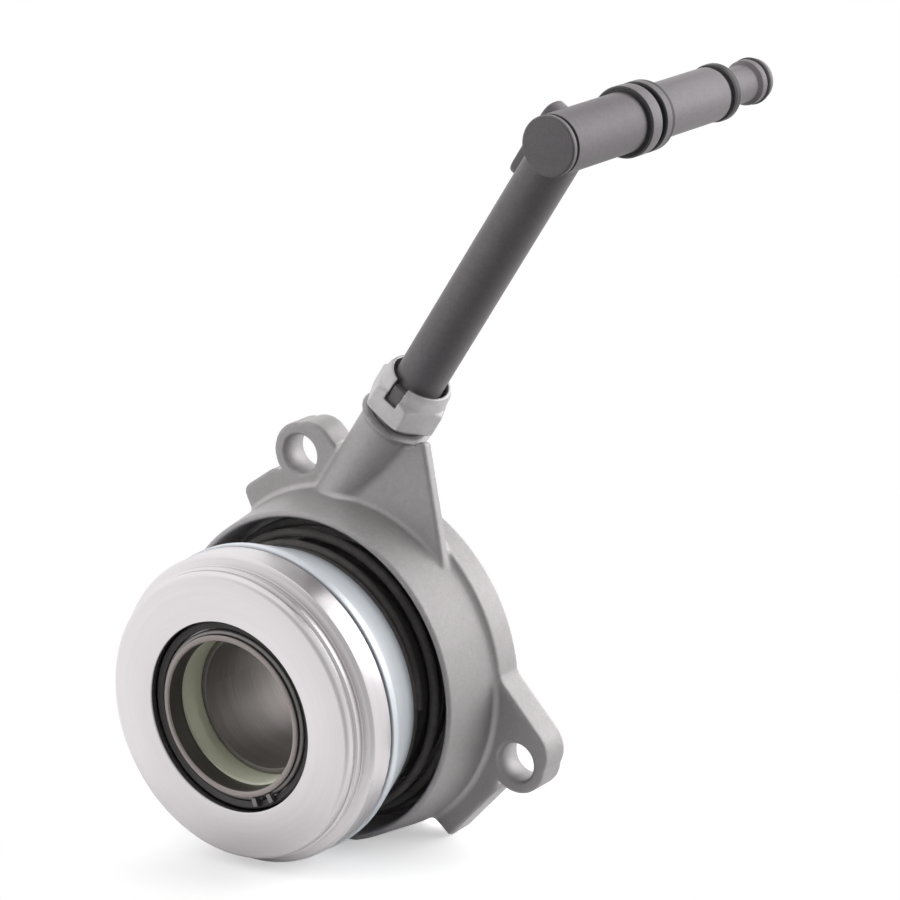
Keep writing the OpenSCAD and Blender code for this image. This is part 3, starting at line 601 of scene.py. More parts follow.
@dataclass(frozen=True)
class Finish:
    """Metal, plastic or rubber finish: colours between which a pattern varies, and the shader's plain values."""
    name: str
    low: tuple[float, float, float]
    high: tuple[float, float, float]
    rough: tuple[float, float]
    metallic: float = 0.0
    pattern: Pattern = Pattern.SMUDGE
    pattern_size: float = 60.0
    bump: float = 0.0
    bump_depth: float = 0.00003
    # edge_tone, edge_gain and edge_lift lighten outer edges: partly wear, partly painted highlight. corner_tone and
    # corner_gain tint inner corners: painted highlight where the gain is above 1, painted shade below 1.
    edge_tone: float = 0.0
    corner_tone: float = 0.0
    corner_gain: float = 0.55
    specular: float = 0.5
    haze_size: float = 75.0
    edge_gain: float = 1.35
    edge_lift: float = 0.03

    def build(self) -> bpy.types.Material:
        """Builds the material's nodes.

        Returns:
            The material.
        """
        mat = bpy.data.materials.new(self.name)
        mat.use_nodes = True
        mat.node_tree.nodes.clear()
        g = Graph(mat.node_tree)
        out = g.add("ShaderNodeOutputMaterial")
        shader = g.add("ShaderNodeBsdfPrincipled")
        g.tree.links.new(shader.outputs[0], out.inputs["Surface"])
        where = g.add("ShaderNodeTexCoord").outputs["Object"]
        group = g.add("ShaderNodeGroup", node_tree=bpy.data.node_groups[self.pattern.value])
        g.feed(group.inputs["Vector"], where)
        group.inputs[1].default_value = self.pattern_size
        tone = group.outputs["Tone"]
        haze = g.add("ShaderNodeGroup", node_tree=bpy.data.node_groups[Pattern.SMUDGE.value])
        g.put(haze, Vector=where, Size=self.haze_size)
        colour = g.mix(tone, (*self.low, 1.0), (*self.high, 1.0))
        # Lighter outer edges, partly wear and partly painted highlight; inner corners painted lighter or darker as
        # light and shade.
        if self.edge_tone or self.corner_tone:
            relief = g.add("ShaderNodeGroup", node_tree=bpy.data.node_groups["edge_relief"])
            g.feed(relief.inputs["Vector"], where)
            light = tuple(min(1.0, c * self.edge_gain + self.edge_lift) for c in self.high)
            inner = tuple(min(1.0, c * self.corner_gain) for c in self.low)
            rubbed_and_lit = g.math("MULTIPLY", relief.outputs["Edge"], self.edge_tone)
            cornered = g.math("MULTIPLY", relief.outputs["Corner"], self.corner_tone)
            colour = g.mix(cornered, g.mix(rubbed_and_lit, colour, (*light, 1.0)), (*inner, 1.0))
        g.feed(shader.inputs["Base Color"], colour)
        uneven = g.weighted((tone, 0.5), (haze.outputs["Tone"], 0.5))
        g.feed(shader.inputs["Roughness"], g.spread(uneven, 0.0, 1.0, *self.rough))
        shader.inputs["Metallic"].default_value = self.metallic
        shader.inputs["Specular IOR Level"].default_value = self.specular
        if self.bump and "Height" in group.outputs:
            bump = g.add("ShaderNodeBump")
            g.put(bump, Strength=self.bump, Distance=self.bump_depth, Height=group.outputs["Height"])
            g.feed(shader.inputs["Normal"], bump.outputs[0])
        return mat


class Finishes:
    """All finishes of the part, one for each of the record's material slots, built once."""

    TABLE: tuple[Finish, ...] = (
        # The casting's inner corners are lightened: painted highlight of the fillets; its lighter edges are partly
        # wear, partly painted highlight.
        Finish("cast_alloy", (0.385, 0.367, 0.371), (0.515, 0.493, 0.498), (0.4, 0.55), 0.4,
               Pattern.GRAIN, 2600.0, 0.35, 0.00006, 0.35, 0.9, 2.0),
        # Dark finish for the cup's inner wall and floor: painted shade on alloy that lies in the cup's shadow.
        Finish("cup_inside_painted_shade", (0.07, 0.063, 0.059), (0.13, 0.117, 0.109), (0.4, 0.55), 0.1,
               Pattern.RINGS, 1500.0, 0.2, 0.00003),
        Finish("machined_alloy", (0.74, 0.725, 0.72), (0.86, 0.845, 0.84), (0.32, 0.45), 0.4,
               Pattern.RINGS, 3600.0, 0.2, 0.00002),
        Finish("faced_alloy", (0.3, 0.29, 0.293), (0.37, 0.358, 0.361), (0.38, 0.5), 0.4,
               Pattern.RINGS, 2600.0, 0.2, 0.00002),
        Finish("polished_steel", (0.8, 0.765, 0.782), (0.85, 0.815, 0.83), (0.26, 0.34), 1.0,
               Pattern.RINGS, 4200.0, 0.08, 0.00001),
        # Darker steel for the faces in the ring's grooves: painted shade.
        Finish("groove_painted_shade_steel", (0.5, 0.48, 0.49), (0.6, 0.58, 0.59), (0.2, 0.3), 1.0,
               Pattern.RINGS, 4200.0, 0.08, 0.00001),
        Finish("plated_steel", (0.74, 0.78, 0.835), (0.83, 0.865, 0.91), (0.3, 0.42), 0.45,
               Pattern.RINGS, 2600.0, 0.06, 0.00001),
        Finish("race_steel", (0.3, 0.295, 0.3), (0.4, 0.39, 0.4), (0.22, 0.34), 1.0,
               Pattern.RINGS, 3600.0, 0.1, 0.00001),
        Finish("tube_steel", (0.19, 0.174, 0.167), (0.27, 0.249, 0.24), (0.36, 0.5), 0.5,
               Pattern.RINGS, 1500.0, 0.2, 0.00002),
        Finish("spring_steel", (0.1, 0.095, 0.092), (0.15, 0.142, 0.138), (0.6, 0.75), 0.0,
               Pattern.SMUDGE, 240.0, specular=0.15),
        Finish("bright_wire", (0.22, 0.208, 0.204), (0.32, 0.304, 0.298), (0.3, 0.42), 0.8, Pattern.SMUDGE, 240.0),
        # Lighter hex edges: partly wear, partly painted highlight.
        Finish("retainer_steel", (0.52, 0.505, 0.505), (0.64, 0.625, 0.625), (0.34, 0.46), 0.8,
               Pattern.SMUDGE, 200.0, edge_tone=0.3),
        Finish("black_rubber", (0.055, 0.052, 0.052), (0.085, 0.08, 0.08), (0.45, 0.62), 0.0,
               Pattern.GRAIN, 1600.0, 0.1, 0.00004),
        Finish("black_plastic", (0.022, 0.0205, 0.0205), (0.044, 0.041, 0.041), (0.32, 0.46), 0.0,
               Pattern.GRAIN, 2200.0, 0.08, 0.00003),
        # Near-black finish for the spigot's grooves, step faces and the cap seam: painted shade.
        Finish("band_painted_shade_plastic", (0.034, 0.031, 0.033), (0.056, 0.052, 0.054), (0.36, 0.48), 0.0,
               Pattern.GRAIN, 2200.0, 0.08, 0.00003),
        # Darker inner corners: painted shade; lighter edges: partly wear, partly painted highlight.
        Finish("grey_plastic", (0.165, 0.15, 0.16), (0.23, 0.212, 0.223), (0.4, 0.52), 0.0,
               Pattern.GRAIN, 1800.0, 0.1, 0.00003, 0.25, 0.3, specular=0.4),
        Finish("cap_plastic", (0.175, 0.16, 0.17), (0.24, 0.221, 0.233), (0.4, 0.52), 0.0,
               Pattern.GRAIN, 1800.0, 0.1, 0.00003, specular=0.35),
        Finish("green_plastic", (0.86, 0.875, 0.7), (0.93, 0.94, 0.76), (0.4, 0.52), 0.0,
               Pattern.GRAIN, 1500.0, 0.08, 0.00003),
        Finish("pale_plastic", (0.58, 0.55, 0.47), (0.68, 0.65, 0.57), (0.42, 0.55), 0.0,
               Pattern.GRAIN, 1500.0, 0.08, 0.00003),
        Finish("worn_lip", (0.44, 0.385, 0.37), (0.58, 0.51, 0.49), (0.3, 0.42), 0.1,
               Pattern.RINGS, 1800.0, 0.1, 0.00002),
        Finish("funnel_plastic", (0.06, 0.052, 0.045), (0.1, 0.088, 0.076), (0.4, 0.52), 0.0,
               Pattern.RINGS, 1800.0, 0.1, 0.00002),
        Finish("cage_plastic", (0.34, 0.24, 0.11), (0.42, 0.3, 0.15), (0.4, 0.55), 0.0,
               Pattern.GRAIN, 1500.0, 0.08, 0.00003),
    )

    def __init__(self) -> None:
        """Builds the shared groups, then every finish."""
        for make in (blasted_group, turned_group, smudge_group, relief_group):
            make()
        self.made: dict[str, bpy.types.Material] = {item.name: item.build() for item in self.TABLE}

    def dress(self, obj: bpy.types.Object, *keys: str) -> None:
        """Gives an object its materials in order."""
        obj.data.materials.clear()
        for key in keys:
            obj.data.materials.append(self.made[key])


def place(obj: bpy.types.Object, body: str, slot: str, *nodes: str) -> None:
    """Rides a finished piece on its body and hides the nodes it stands for.

    Args:
        obj: The piece.
        body: The body's name.
        slot: The record's material slot; not used.
        nodes: The replaced nodes.
    """
    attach(obj, body)
    if nodes:
        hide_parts(*nodes)
    LOG.info("%s: %d faces on %s", obj.name, len(obj.data.polygons), body)


# ---------------------------------------------------------------- sub-assemblies

def on_circle(r: float, degrees: float) -> Point:
    """Point on a circle round the shaft, seen from the bearing side."""
    a = math.radians(degrees)
    return (r * math.cos(a), r * math.sin(a))


@dataclass
class Casting:
    """Cast housing: cup, flange with three ears, inlet boss and web, with its machined cavities."""
    flange_t: float = 7.0
    flange_r: float = 39.0
    cup_base_r: float = 37.8
    cup_rim_r: float = 35.9
    cup_inner_r: float = 34.7
    cup_depth: float = 20.6
    bolt_circle_r: float = 45.0
    bolt_hole_r: float = 4.2
    ear_r: float = 6.8
    upper_angle: float = 105.9
    right_angle: float = -17.4
    left_angle: float = 224.2
    upper_arm: float = 24.5
    right_arm: float = 35.3
    boss_r: float = 6.9
    boss_top: float = 52.7
    web_front: float = 9.6
    web_t: float = 3.0
    web_lean: float = math.radians(11.0)
    web_lean_axis: tuple[float, float, float] = (0.853, -0.522, 0.0)
    flange_edge: float = 0.55
    web_edge: float = 0.7
    ear_fillet: float = 0.9
    cup_fillet: float = 1.1
    web_fillet: float = 0.45
    boss_fillet: float = 0.8
    spigot_room: float = 0.4
    step: float = 0.55

    def touch(self, far: Point, mid: Point, r: float, side: int) -> Point:
        """Point where a line from a far point touches a circle."""
        vx, vy = far[0] - mid[0], far[1] - mid[1]
        t = math.atan2(vy, vx) + side * math.acos(r / math.hypot(vx, vy))
        return (mid[0] + r * math.cos(t), mid[1] + r * math.sin(t))

    def ear(self, x: np.ndarray, z: np.ndarray, arm: float, end: float) -> np.ndarray:
        """Distance to an ear with its hole on +x: a straight flank above and a side arm below."""
        hole = (self.bolt_circle_r, 0.0)
        corner = (hole[0] + 0.5, 2.9)
        corner_r = self.ear_r - 0.6
        foot = on_circle(self.flange_r - 0.1, 23.2)
        low = on_circle(self.ear_r, -112)
        points = [
            on_circle(self.cup_base_r - 4, 23.2), foot, self.touch(foot, corner, corner_r, -1), corner, hole,
            (hole[0] + low[0], low[1]), on_circle(self.bolt_circle_r - 1.6, -12),
            (*on_circle(self.bolt_circle_r - 1.8, -arm), end),
            on_circle(self.cup_base_r - 1, -arm - 2.4), on_circle(self.cup_base_r - 6, -arm + 6),
        ]
        flat = outline_field(x, z, eased(points))
        flat = np.minimum(flat, np.hypot(x - hole[0], z) - self.ear_r)
        return np.minimum(flat, np.hypot(x - corner[0], z - corner[1]) - corner_r)

    def plain_ear(self, x: np.ndarray, z: np.ndarray) -> np.ndarray:
        """Distance to an ear with its hole on +x and two straight flanks."""
        hole = (self.bolt_circle_r, 0.0)
        a, b = on_circle(self.cup_base_r - 0.2, 23), on_circle(self.cup_base_r - 0.2, -23)
        points = [(20.0, 0.0), a, self.touch(a, hole, self.ear_r, -1), hole, self.touch(b, hole, self.ear_r, 1), b]
        return np.minimum(outline_field(x, z, points), np.hypot(x - hole[0], z) - self.ear_r)

    def flange_side(self) -> list[Point]:
        """Outline of the side of the flange that carries the upper and right ears."""
        mid, far = (self.upper_angle + self.right_angle) / 2, 90
        angles = (self.upper_angle + self.upper_arm, mid + 50, mid, mid - 50, self.right_angle - self.right_arm - 1)
        return [on_circle(far, angle) for angle in angles] + [(0.0, 0.0)]

    def shape(self, x: np.ndarray, f: np.ndarray, z: np.ndarray) -> np.ndarray:
        """Distance to the rough casting, before any machining.

        Args:
            x: Places across.
            f: Places forward of the mounting face.
            z: Places up.
        Returns:
            The signed distance in millimetres.
        """
        r = np.hypot(x, z)

        def turn(degrees: float, flip: float = 1.0) -> tuple[np.ndarray, np.ndarray]:
            """Coordinates seen from an ear's own direction."""
            a = math.radians(degrees)
            return x * math.cos(a) + z * math.sin(a), flip * (z * math.cos(a) - x * math.sin(a))

        side = np.maximum(r - self.flange_r, outline_field(x, z, self.flange_side()))
        plate = join(side, self.ear(*turn(self.right_angle), self.right_arm, 0.9), self.ear_fillet)
        plate = join(plate, self.ear(*turn(self.upper_angle, -1.0), self.upper_arm, 2.4), self.ear_fillet)
        plate = join(plate, self.plain_ear(*turn(self.left_angle)), self.ear_fillet)
        body = slab(plate, f, 0.0, self.flange_t, self.flange_edge)
        base, rim, depth = self.cup_base_r, self.cup_rim_r, self.cup_depth
        cup = outline_field(r, f, [(-1, 0), (base, 0), (base, self.flange_t), (rim, depth), (rim - 0.1, depth + 1),
                                   (-1, depth + 1)])
        body = join(body, cup, self.cup_fillet)
        c, s = math.cos(AT.pipe_angle), math.sin(AT.pipe_angle)
        up, across, back = x * c + z * s, z * c - x * s - AT.pipe_offset, AT.pipe_fwd - f
        b, top = self.boss_r, self.boss_top
        boss = outline_field(np.sqrt(across ** 2 + back ** 2), up, [
            (-1, 18), (b, 18), (b, top - 2.4), (b + 1, top - 1), (b + 1, top - 0.3), (b + 0.7, top), (-1, top)])
        body = join(body, join(boss, self.web(x, f, z), self.web_fillet), self.boss_fillet)
        return np.maximum(body, -np.maximum(f, r - self.flange_r - self.spigot_room))

    def web(self, x: np.ndarray, f: np.ndarray, z: np.ndarray) -> np.ndarray:
        """Distance to the flat web that leans back from the cup towards the boss rim."""
        deg = math.degrees(AT.pipe_angle)

        def beside(h: float, side: float) -> Point:
            """Point beside the boss axis on the front view."""
            a, b = on_circle(h, deg), on_circle(AT.pipe_offset - side, deg + 90)
            return (a[0] + b[0], a[1] + b[1])

        foot = on_circle(self.cup_base_r - 0.6, deg + 4.3)
        turn = np.array(Matrix.Rotation(self.web_lean, 3, Vector(self.web_lean_axis)))
        qx, qz, qf = x - foot[0], z - foot[1], f - self.web_front
        px, pz, pf = (turn[i, 0] * qx + turn[i, 1] * qz + turn[i, 2] * qf for i in range(3))
        top = self.boss_top - 1.8
        points = [on_circle(self.cup_base_r - 4.6, deg - 15.8), on_circle(self.cup_base_r + 0.1, deg - 11.9),
                  beside(top + 2.9, self.boss_r + 2.3), beside(top, 0), beside(20, 0)]
        return slab(outline_field(px + foot[0], pz + foot[1], points), pf, -self.web_t, 0.0, self.web_edge)

    def cutters(self) -> list[bpy.types.Object]:
        """Turned cutters for the cavities, the bolt holes and the inlet socket."""
        d, inner, floor = self.cup_depth, self.cup_inner_r, AT.cup_floor
        cavity = turned("cut_cavity", eased([
            (0, -3), (19.55, -3), (19.55, 1.6), (17.3, 1.6), (17.3, 3.3), (15.55, 3.3), (15.55, 4), (22, 4, 0.3),
            (22, 17.4), (22.6, 18.2), (24.8, 18.2, 0.2), (25.2, floor, 1.2), (inner, floor, 1.2), (inner, d - 0.4),
            (35.1, d), (35.5, d), (36.0, d - 0.5), (48, d - 0.5), (48, d + 6), (0, d + 6)]), segments=256)
        tools = [cavity]
        for angle in (self.upper_angle, self.right_angle, self.left_angle):
            x, z = on_circle(self.bolt_circle_r, angle)
            r, t = self.bolt_hole_r, self.flange_t
            hole = turned(f"cut_hole_{len(tools)}", [
                (0, -1), (r + 1.5, -1), (r + 0.5, 0), (r, 0.5), (r, t - 0.5), (r + 0.5, t), (r + 1.5, t + 1),
                (0, t + 1)], segments=96)
            hole.data.transform(Matrix.Translation((x * MM, 0, z * MM)))
            tools.append(hole)
        top = self.boss_top
        tools.append(turned("cut_rim", [
            (6.3, top - 0.1), (7.3, top - 0.1), (7.85, top - 0.65), (8.4, top - 1.0), (8.4, top + 2), (6.3, top + 2),
        ], Lay.PIPE, 96))
        tools.append(turned("cut_socket", [
            (0, 3), (1.25, 3), (1.25, top - 13.7), (4.4, top - 13.7), (4.4, top - 6), (6.05, top - 6),
            (6.05, top - 0.4), (6.45, top), (6.45, top + 2), (0, top + 2)], Lay.PIPE, 96))
        return tools

    def build(self, finishes: Finishes) -> None:
        """Makes the casting, cuts it and dresses it."""
        obj = field_object("housing_casting", self.shape, (-47, -4.2, -48), (53, 22.6, 61.5), self.step,
                           lambda v: np.stack([v[:, 0], -v[:, 1], v[:, 2]], axis=-1))
        keys = ("cast_alloy", "machined_alloy", "cup_inside_painted_shade", "faced_alloy")
        finishes.dress(obj, *keys)
        for tool in self.cutters():
            finishes.dress(tool, *keys)
            paint_index(tool, 1)
            boolean(obj, tool, "DIFFERENCE")
        finishes.dress(obj, *keys)
        mesh = obj.data
        for face in mesh.polygons:
            fwd, r = -face.center.y / MM, math.hypot(face.center.x, face.center.z) / MM
            cut_face = face.material_index == 1
            # Cut faces deep in the cup take the dark finish: painted shade.
            if cut_face and 4.0 < fwd < self.cup_depth - 0.45 and r < self.cup_inner_r + 0.2:
                face.material_index = 2
            elif face.normal.y > 0.98 and abs(fwd) < 0.02:
                face.material_index = 3
        smooth(mesh, 48.0)
        place(obj, "base", "cast_alloy", "housing")


@dataclass
class Bearing:
    """Release bearing: ring with the contact face and two grooves behind it, plated shell, seals and wire ring."""
    segments: int = 256
    face_flat_r: float = 28.8
    ring_front_r: float = 31.0
    shell_t: float = 1.4
    seal_inner_r: float = 18.4
    seal_outer_r: float = 31.85
    wire_sweep: Point = (-59.0, 291.0)
    wire_lug: float = 3.5
    # Bands behind the face, in mm, whose faces take the darker groove steel: painted shade.
    grooves: tuple[Point, ...] = ((1.62, 2.3), (3.85, 4.6))

    def build(self, finishes: Finishes) -> None:
        """Makes the ring, the shell, the seals and the wire ring."""
        self.ring(finishes)
        self.shell(finishes)
        self.seals(finishes)

    def ring(self, finishes: Finishes) -> None:
        """Release ring with its contact face, edge steps and grooves."""
        f, hole, r, rear = AT.face_fwd, AT.face_hole_r, AT.ring_r, AT.ring_rear_fwd
        flat, front = self.face_flat_r, self.ring_front_r
        outline = eased([
            (hole, f - 3.6), (hole, f, 0.3), (flat + 1.4, f, 1.4), (flat + 1.75, f - 1.5, 0.2),
            (front - 0.5, f - 1.7, 0.15), (front - 0.5, f - 2.2, 0.15), (front, f - 2.5, 0.2), (front, f - 3.7, 0.2),
            (front - 0.4, f - 4, 0.15), (front - 0.3, f - 4.7, 0.3), (r - 0.6, f - 5, 0.5), (r, f - 5.7, 0.6),
            (r, rear, 0.4), (29.9, rear), (29.9, 40.4), (25.4, 40.4), (25.4, f - 3.6)])
        obj = turned("release_ring_turned", outline, segments=self.segments, sharp=42)
        finishes.dress(obj, "polished_steel", "groove_painted_shade_steel")
        # Faces in the groove bands take the darker steel: painted shade.
        for face in obj.data.polygons:
            behind = f + face.center.y / MM
            face.material_index = int(any(low < behind < high for low, high in self.grooves))
        place(obj, "ring", "polished_steel", "release_ring")

    def shell(self, finishes: Finishes) -> None:
        """Pressed and plated shell behind the ring, with a skirt that narrows towards the cup."""
        r, rear, t = AT.shell_r, AT.shell_rear_fwd, self.shell_t
        front, tail_r, tail = AT.ring_rear_fwd - 0.3, AT.tail_r, AT.tail_fwd
        outline = eased([
            (17.45, rear), (tail_r - t + 1.0, rear, 0.5), (tail_r - t, tail, 0.3), (tail_r, tail, 0.5),
            (r, front - 1.7, 3.0), (r, front, 0.3), (r - t, front, 0.2), (r - t, front - 1.7), (29.39, rear + t, 0.6),
            (17.45, rear + t)], 6)
        obj = turned("bearing_shell_pressed", outline, segments=self.segments)
        finishes.dress(obj, "plated_steel")
        place(obj, "slider", "plated_steel", "bearing_shell")

    def seals(self, finishes: Finishes) -> None:
        """Front and rear seals and the open wire ring."""
        rf, hole, inner = AT.race_front_fwd, AT.face_hole_r, self.seal_inner_r
        seal = turned("front_seal_moulded", eased([
            (inner, rf), (19.9, rf), (hole - 0.3, rf + 0.3), (hole - 0.3, rf + 0.9, 0.15), (hole - 0.8, rf + 1.3, 0.2),
            (hole - 1.2, rf + 1.0, 0.2), (inner, rf + 0.8, 0.2)]))
        finishes.dress(seal, "black_rubber")
        place(seal, "slider", "black_rubber", "front_seal")
        front, outer = AT.ring_rear_fwd - 0.3, self.seal_outer_r
        rear = turned("rear_seal_moulded", [
            (outer - 2.6, front - 1.7), (outer, front - 1.7), (outer, front - 0.3), (outer - 1.4, front),
            (outer - 2.6, front - 1)])
        finishes.dress(rear, "black_rubber")
        place(rear, "slider", "black_rubber", "rear_seal")
        (start, end), lug = self.wire_sweep, self.wire_lug
        wire = turned("snap_ring_wire", ring_section(17.5, rf + 0.7, 1.3), segments=180, sweep=(start, end))
        lug_outline = eased([(17.2, rf + 0.9), (18.2, rf + 0.9), (19.3, rf + 1.5, 0.2), (19.3, rf + 2.1, 0.2),
                             (17.5, rf + 2.1, 0.2)])
        for sweep in ((start, start + lug), (end - lug, end)):
            boolean(wire, turned("add_end", lug_outline, segments=8, sweep=sweep), "UNION")
        finishes.dress(wire, "bright_wire")
        smooth(wire.data, 40.0)
        place(wire, "slider", "bright_wire", "snap_ring")


class PistonTrain:
    """Guide tube and the piston with its bush."""

    def build(self, finishes: Finishes) -> None:
        """Makes the tube, the piston and the bush."""
        f, n, b = AT.face_fwd, AT.nose_r, AT.tube_bore_r
        tube = turned("guide_tube_drawn", eased([
            (b, 0, 0.3), (19.5, 0, 0.2), (19.5, 1.6), (15.5, 1.6, 0.4), (15.5, 37.5, 0.4), (b, 37.5, 0.4)]))
        finishes.dress(tube, "tube_steel")
        place(tube, "base", "tube_steel", "guide_tube")
        front, bush = f - 0.5, f - 4.8
        bush_rear = bush - 16
        piston = turned("piston_moulded", eased([
            (15.9, 16.4), (21.9, 16.4, 0.3), (21.9, 22), (21, 23.4), (21, 26.5), (n, 26.5), (n, 45.2), (16.8, 45.2),
            (16.8, 46.6), (n, 46.6), (n - 0.2, front, 0.4), (16.0, front, 0.5), (16.0, bush), (16.75, bush),
            (16.75, bush_rear), (15.9, bush_rear)]))
        finishes.dress(piston, "black_plastic", "worn_lip", "funnel_plastic")
        for face in piston.data.polygons:
            r, fwd = math.hypot(face.center.x, face.center.z) / MM, -face.center.y / MM
            face.material_index = 1 if fwd > front - 0.3 else 2 if r < 16.1 and fwd > bush else 0
        place(piston, "slider", "black_plastic", "piston")
        ring = turned("guide_bush_moulded", eased([
            (15.55, bush_rear), (16.7, bush_rear), (16.7, bush), (15.55, bush, 0.5)]))
        finishes.dress(ring, "green_plastic")
        place(ring, "slider", "green_plastic", "guide_bush")


@dataclass
class BootAndSpring:
    """Folded dust boot and the coned coil spring round it."""
    mean_r: float = 26.3
    fold: float = 0.3
    wall: float = 0.7
    wave: float = 3.2
    crest_fwd: float = 19.2
    bead: float = 1.8
    foot_r: float = 33.0
    head_r: float = 28.6
    wire: float = 2.0
    turns: float = 3.0

    def mid(self, fwd: float) -> float:
        """Radius of the boot's mid wall at a forward place."""
        return self.mean_r + self.fold * math.cos(2 * math.pi * (fwd - self.crest_fwd) / self.wave)

    def build(self, finishes: Finishes) -> None:
        """Makes the boot and the spring and puts them on the base."""
        low, high = AT.cup_floor, AT.seat_fwd
        foot, head = low + self.bead, high - self.bead
        places = [foot + (head - foot) * k / 60 for k in range(61)]
        m, w = self.mean_r, self.wall / 2
        outline = eased([(m - 0.8, low), (m + 1.2, low), (m + 1.2, foot - 0.2, 0.4), (m + w + 0.3, foot)])
        outline += [(self.mid(f) + w, f) for f in places]
        outline += eased([(m + 0.5, head + 0.1), (m + 0.6, high - 0.7, 0.3), (m + 0.4, high), (m - 0.65, high),
                          (m - 0.65, head)])
        outline += [(self.mid(f) - w, f) for f in reversed(places)] + [(m - 0.8, foot)]
        boot = turned("dust_boot_moulded", outline)
        finishes.dress(boot, "black_rubber")
        self.squeeze(boot, "dust_boot")
        self.squeeze(self.spring(finishes), "preload_spring")

    def squeeze(self, obj: bpy.types.Object, node: str) -> None:
        """Puts a piece on the base, with a mesh of its own, and hides the node it replaces.

        Args:
            obj: The piece.
            node: The replaced node.
        """
        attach(obj, "base")
        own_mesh(obj)
        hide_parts(node)
        LOG.info("%s: %d faces, squeezed on base", obj.name, len(obj.data.polygons))

    def coil_tree(self, material: bpy.types.Material) -> bpy.types.NodeTree:
        """Geometry nodes that wind a wire along a rising path.

        Args:
            material: The wire's finish.
        Returns:
            The node tree, with its sizes as named inputs.
        """
        tree = bpy.data.node_groups.new("wound_wire", "GeometryNodeTree")
        face = tree.interface
        face.new_socket(name="Geometry", in_out="INPUT", socket_type="NodeSocketGeometry")
        for name in ("Turns", "Foot Radius", "Head Radius", "Height", "Wire Radius"):
            face.new_socket(name=name, in_out="INPUT", socket_type="NodeSocketFloat")
        face.new_socket(name="Geometry", in_out="OUTPUT", socket_type="NodeSocketGeometry")
        g = Graph(tree)
        i, o = g.add("NodeGroupInput").outputs, g.add("NodeGroupOutput")
        path = g.put(g.add("GeometryNodeCurveSpiral"), Resolution=96, Rotations=i["Turns"],
                     Start_Radius=i["Foot Radius"], End_Radius=i["Head Radius"], Height=i["Height"])
        section = g.put(g.add("GeometryNodeCurvePrimitiveCircle"), Resolution=20, Radius=i["Wire Radius"])
        tube = g.put(g.add("GeometryNodeCurveToMesh"), Curve=path.outputs[0], Profile_Curve=section.outputs[0],
                     Fill_Caps=True)
        shade = g.put(g.add("GeometryNodeSetShadeSmooth"), Geometry=tube.outputs[0])
        real = g.put(g.add("GeometryNodeRealizeInstances"), Geometry=shade.outputs[0])
        paint = g.put(g.add("GeometryNodeSetMaterial"), Geometry=real.outputs[0], Material=material)
        g.feed(o.inputs[0], paint.outputs[0])
        return tree

    def spring(self, finishes: Finishes) -> bpy.types.Object:
        """Winds the preload spring and returns its object."""
        low, high = AT.cup_floor + 0.05 + self.wire / 2, AT.seat_fwd - 0.05 - self.wire / 2
        tree = self.coil_tree(finishes.made["spring_steel"])
        sizes = {"Turns": self.turns, "Foot Radius": self.foot_r * MM, "Head Radius": self.head_r * MM,
                 "Height": (high - low) * MM, "Wire Radius": self.wire / 2 * MM}
        obj = grown("preload_spring_coil", tree, sizes)
        obj.data.transform(Matrix.Translation((0, -low * MM, 0)) @ Matrix.Rotation(math.pi / 2, 4, "X"))
        return obj


def grown(name: str, tree: bpy.types.NodeTree, sizes: dict[str, float]) -> bpy.types.Object:
    """Plain mesh object of a geometry node tree.

    Args:
        name: The piece's name.
        tree: The node tree.
        sizes: Values of its inputs by name.
    Returns:
        The object, with the modifier removed.
    """
    obj = bpy.data.objects.new(name, bpy.data.meshes.new(name))
    bpy.context.scene.collection.objects.link(obj)
    modifier = obj.modifiers.new("grow", "NODES")
    modifier.node_group = tree
    for item in tree.interface.items_tree:
        if item.in_out == "INPUT" and item.name in sizes:
            modifier[item.identifier] = sizes[item.name]
    graph = bpy.context.evaluated_depsgraph_get()
    mesh = bpy.data.meshes.new_from_object(obj.evaluated_get(graph), depsgraph=graph)
    obj.modifiers.remove(modifier)
    old = obj.data
    obj.data = mesh
    bpy.data.meshes.remove(old)
    return obj


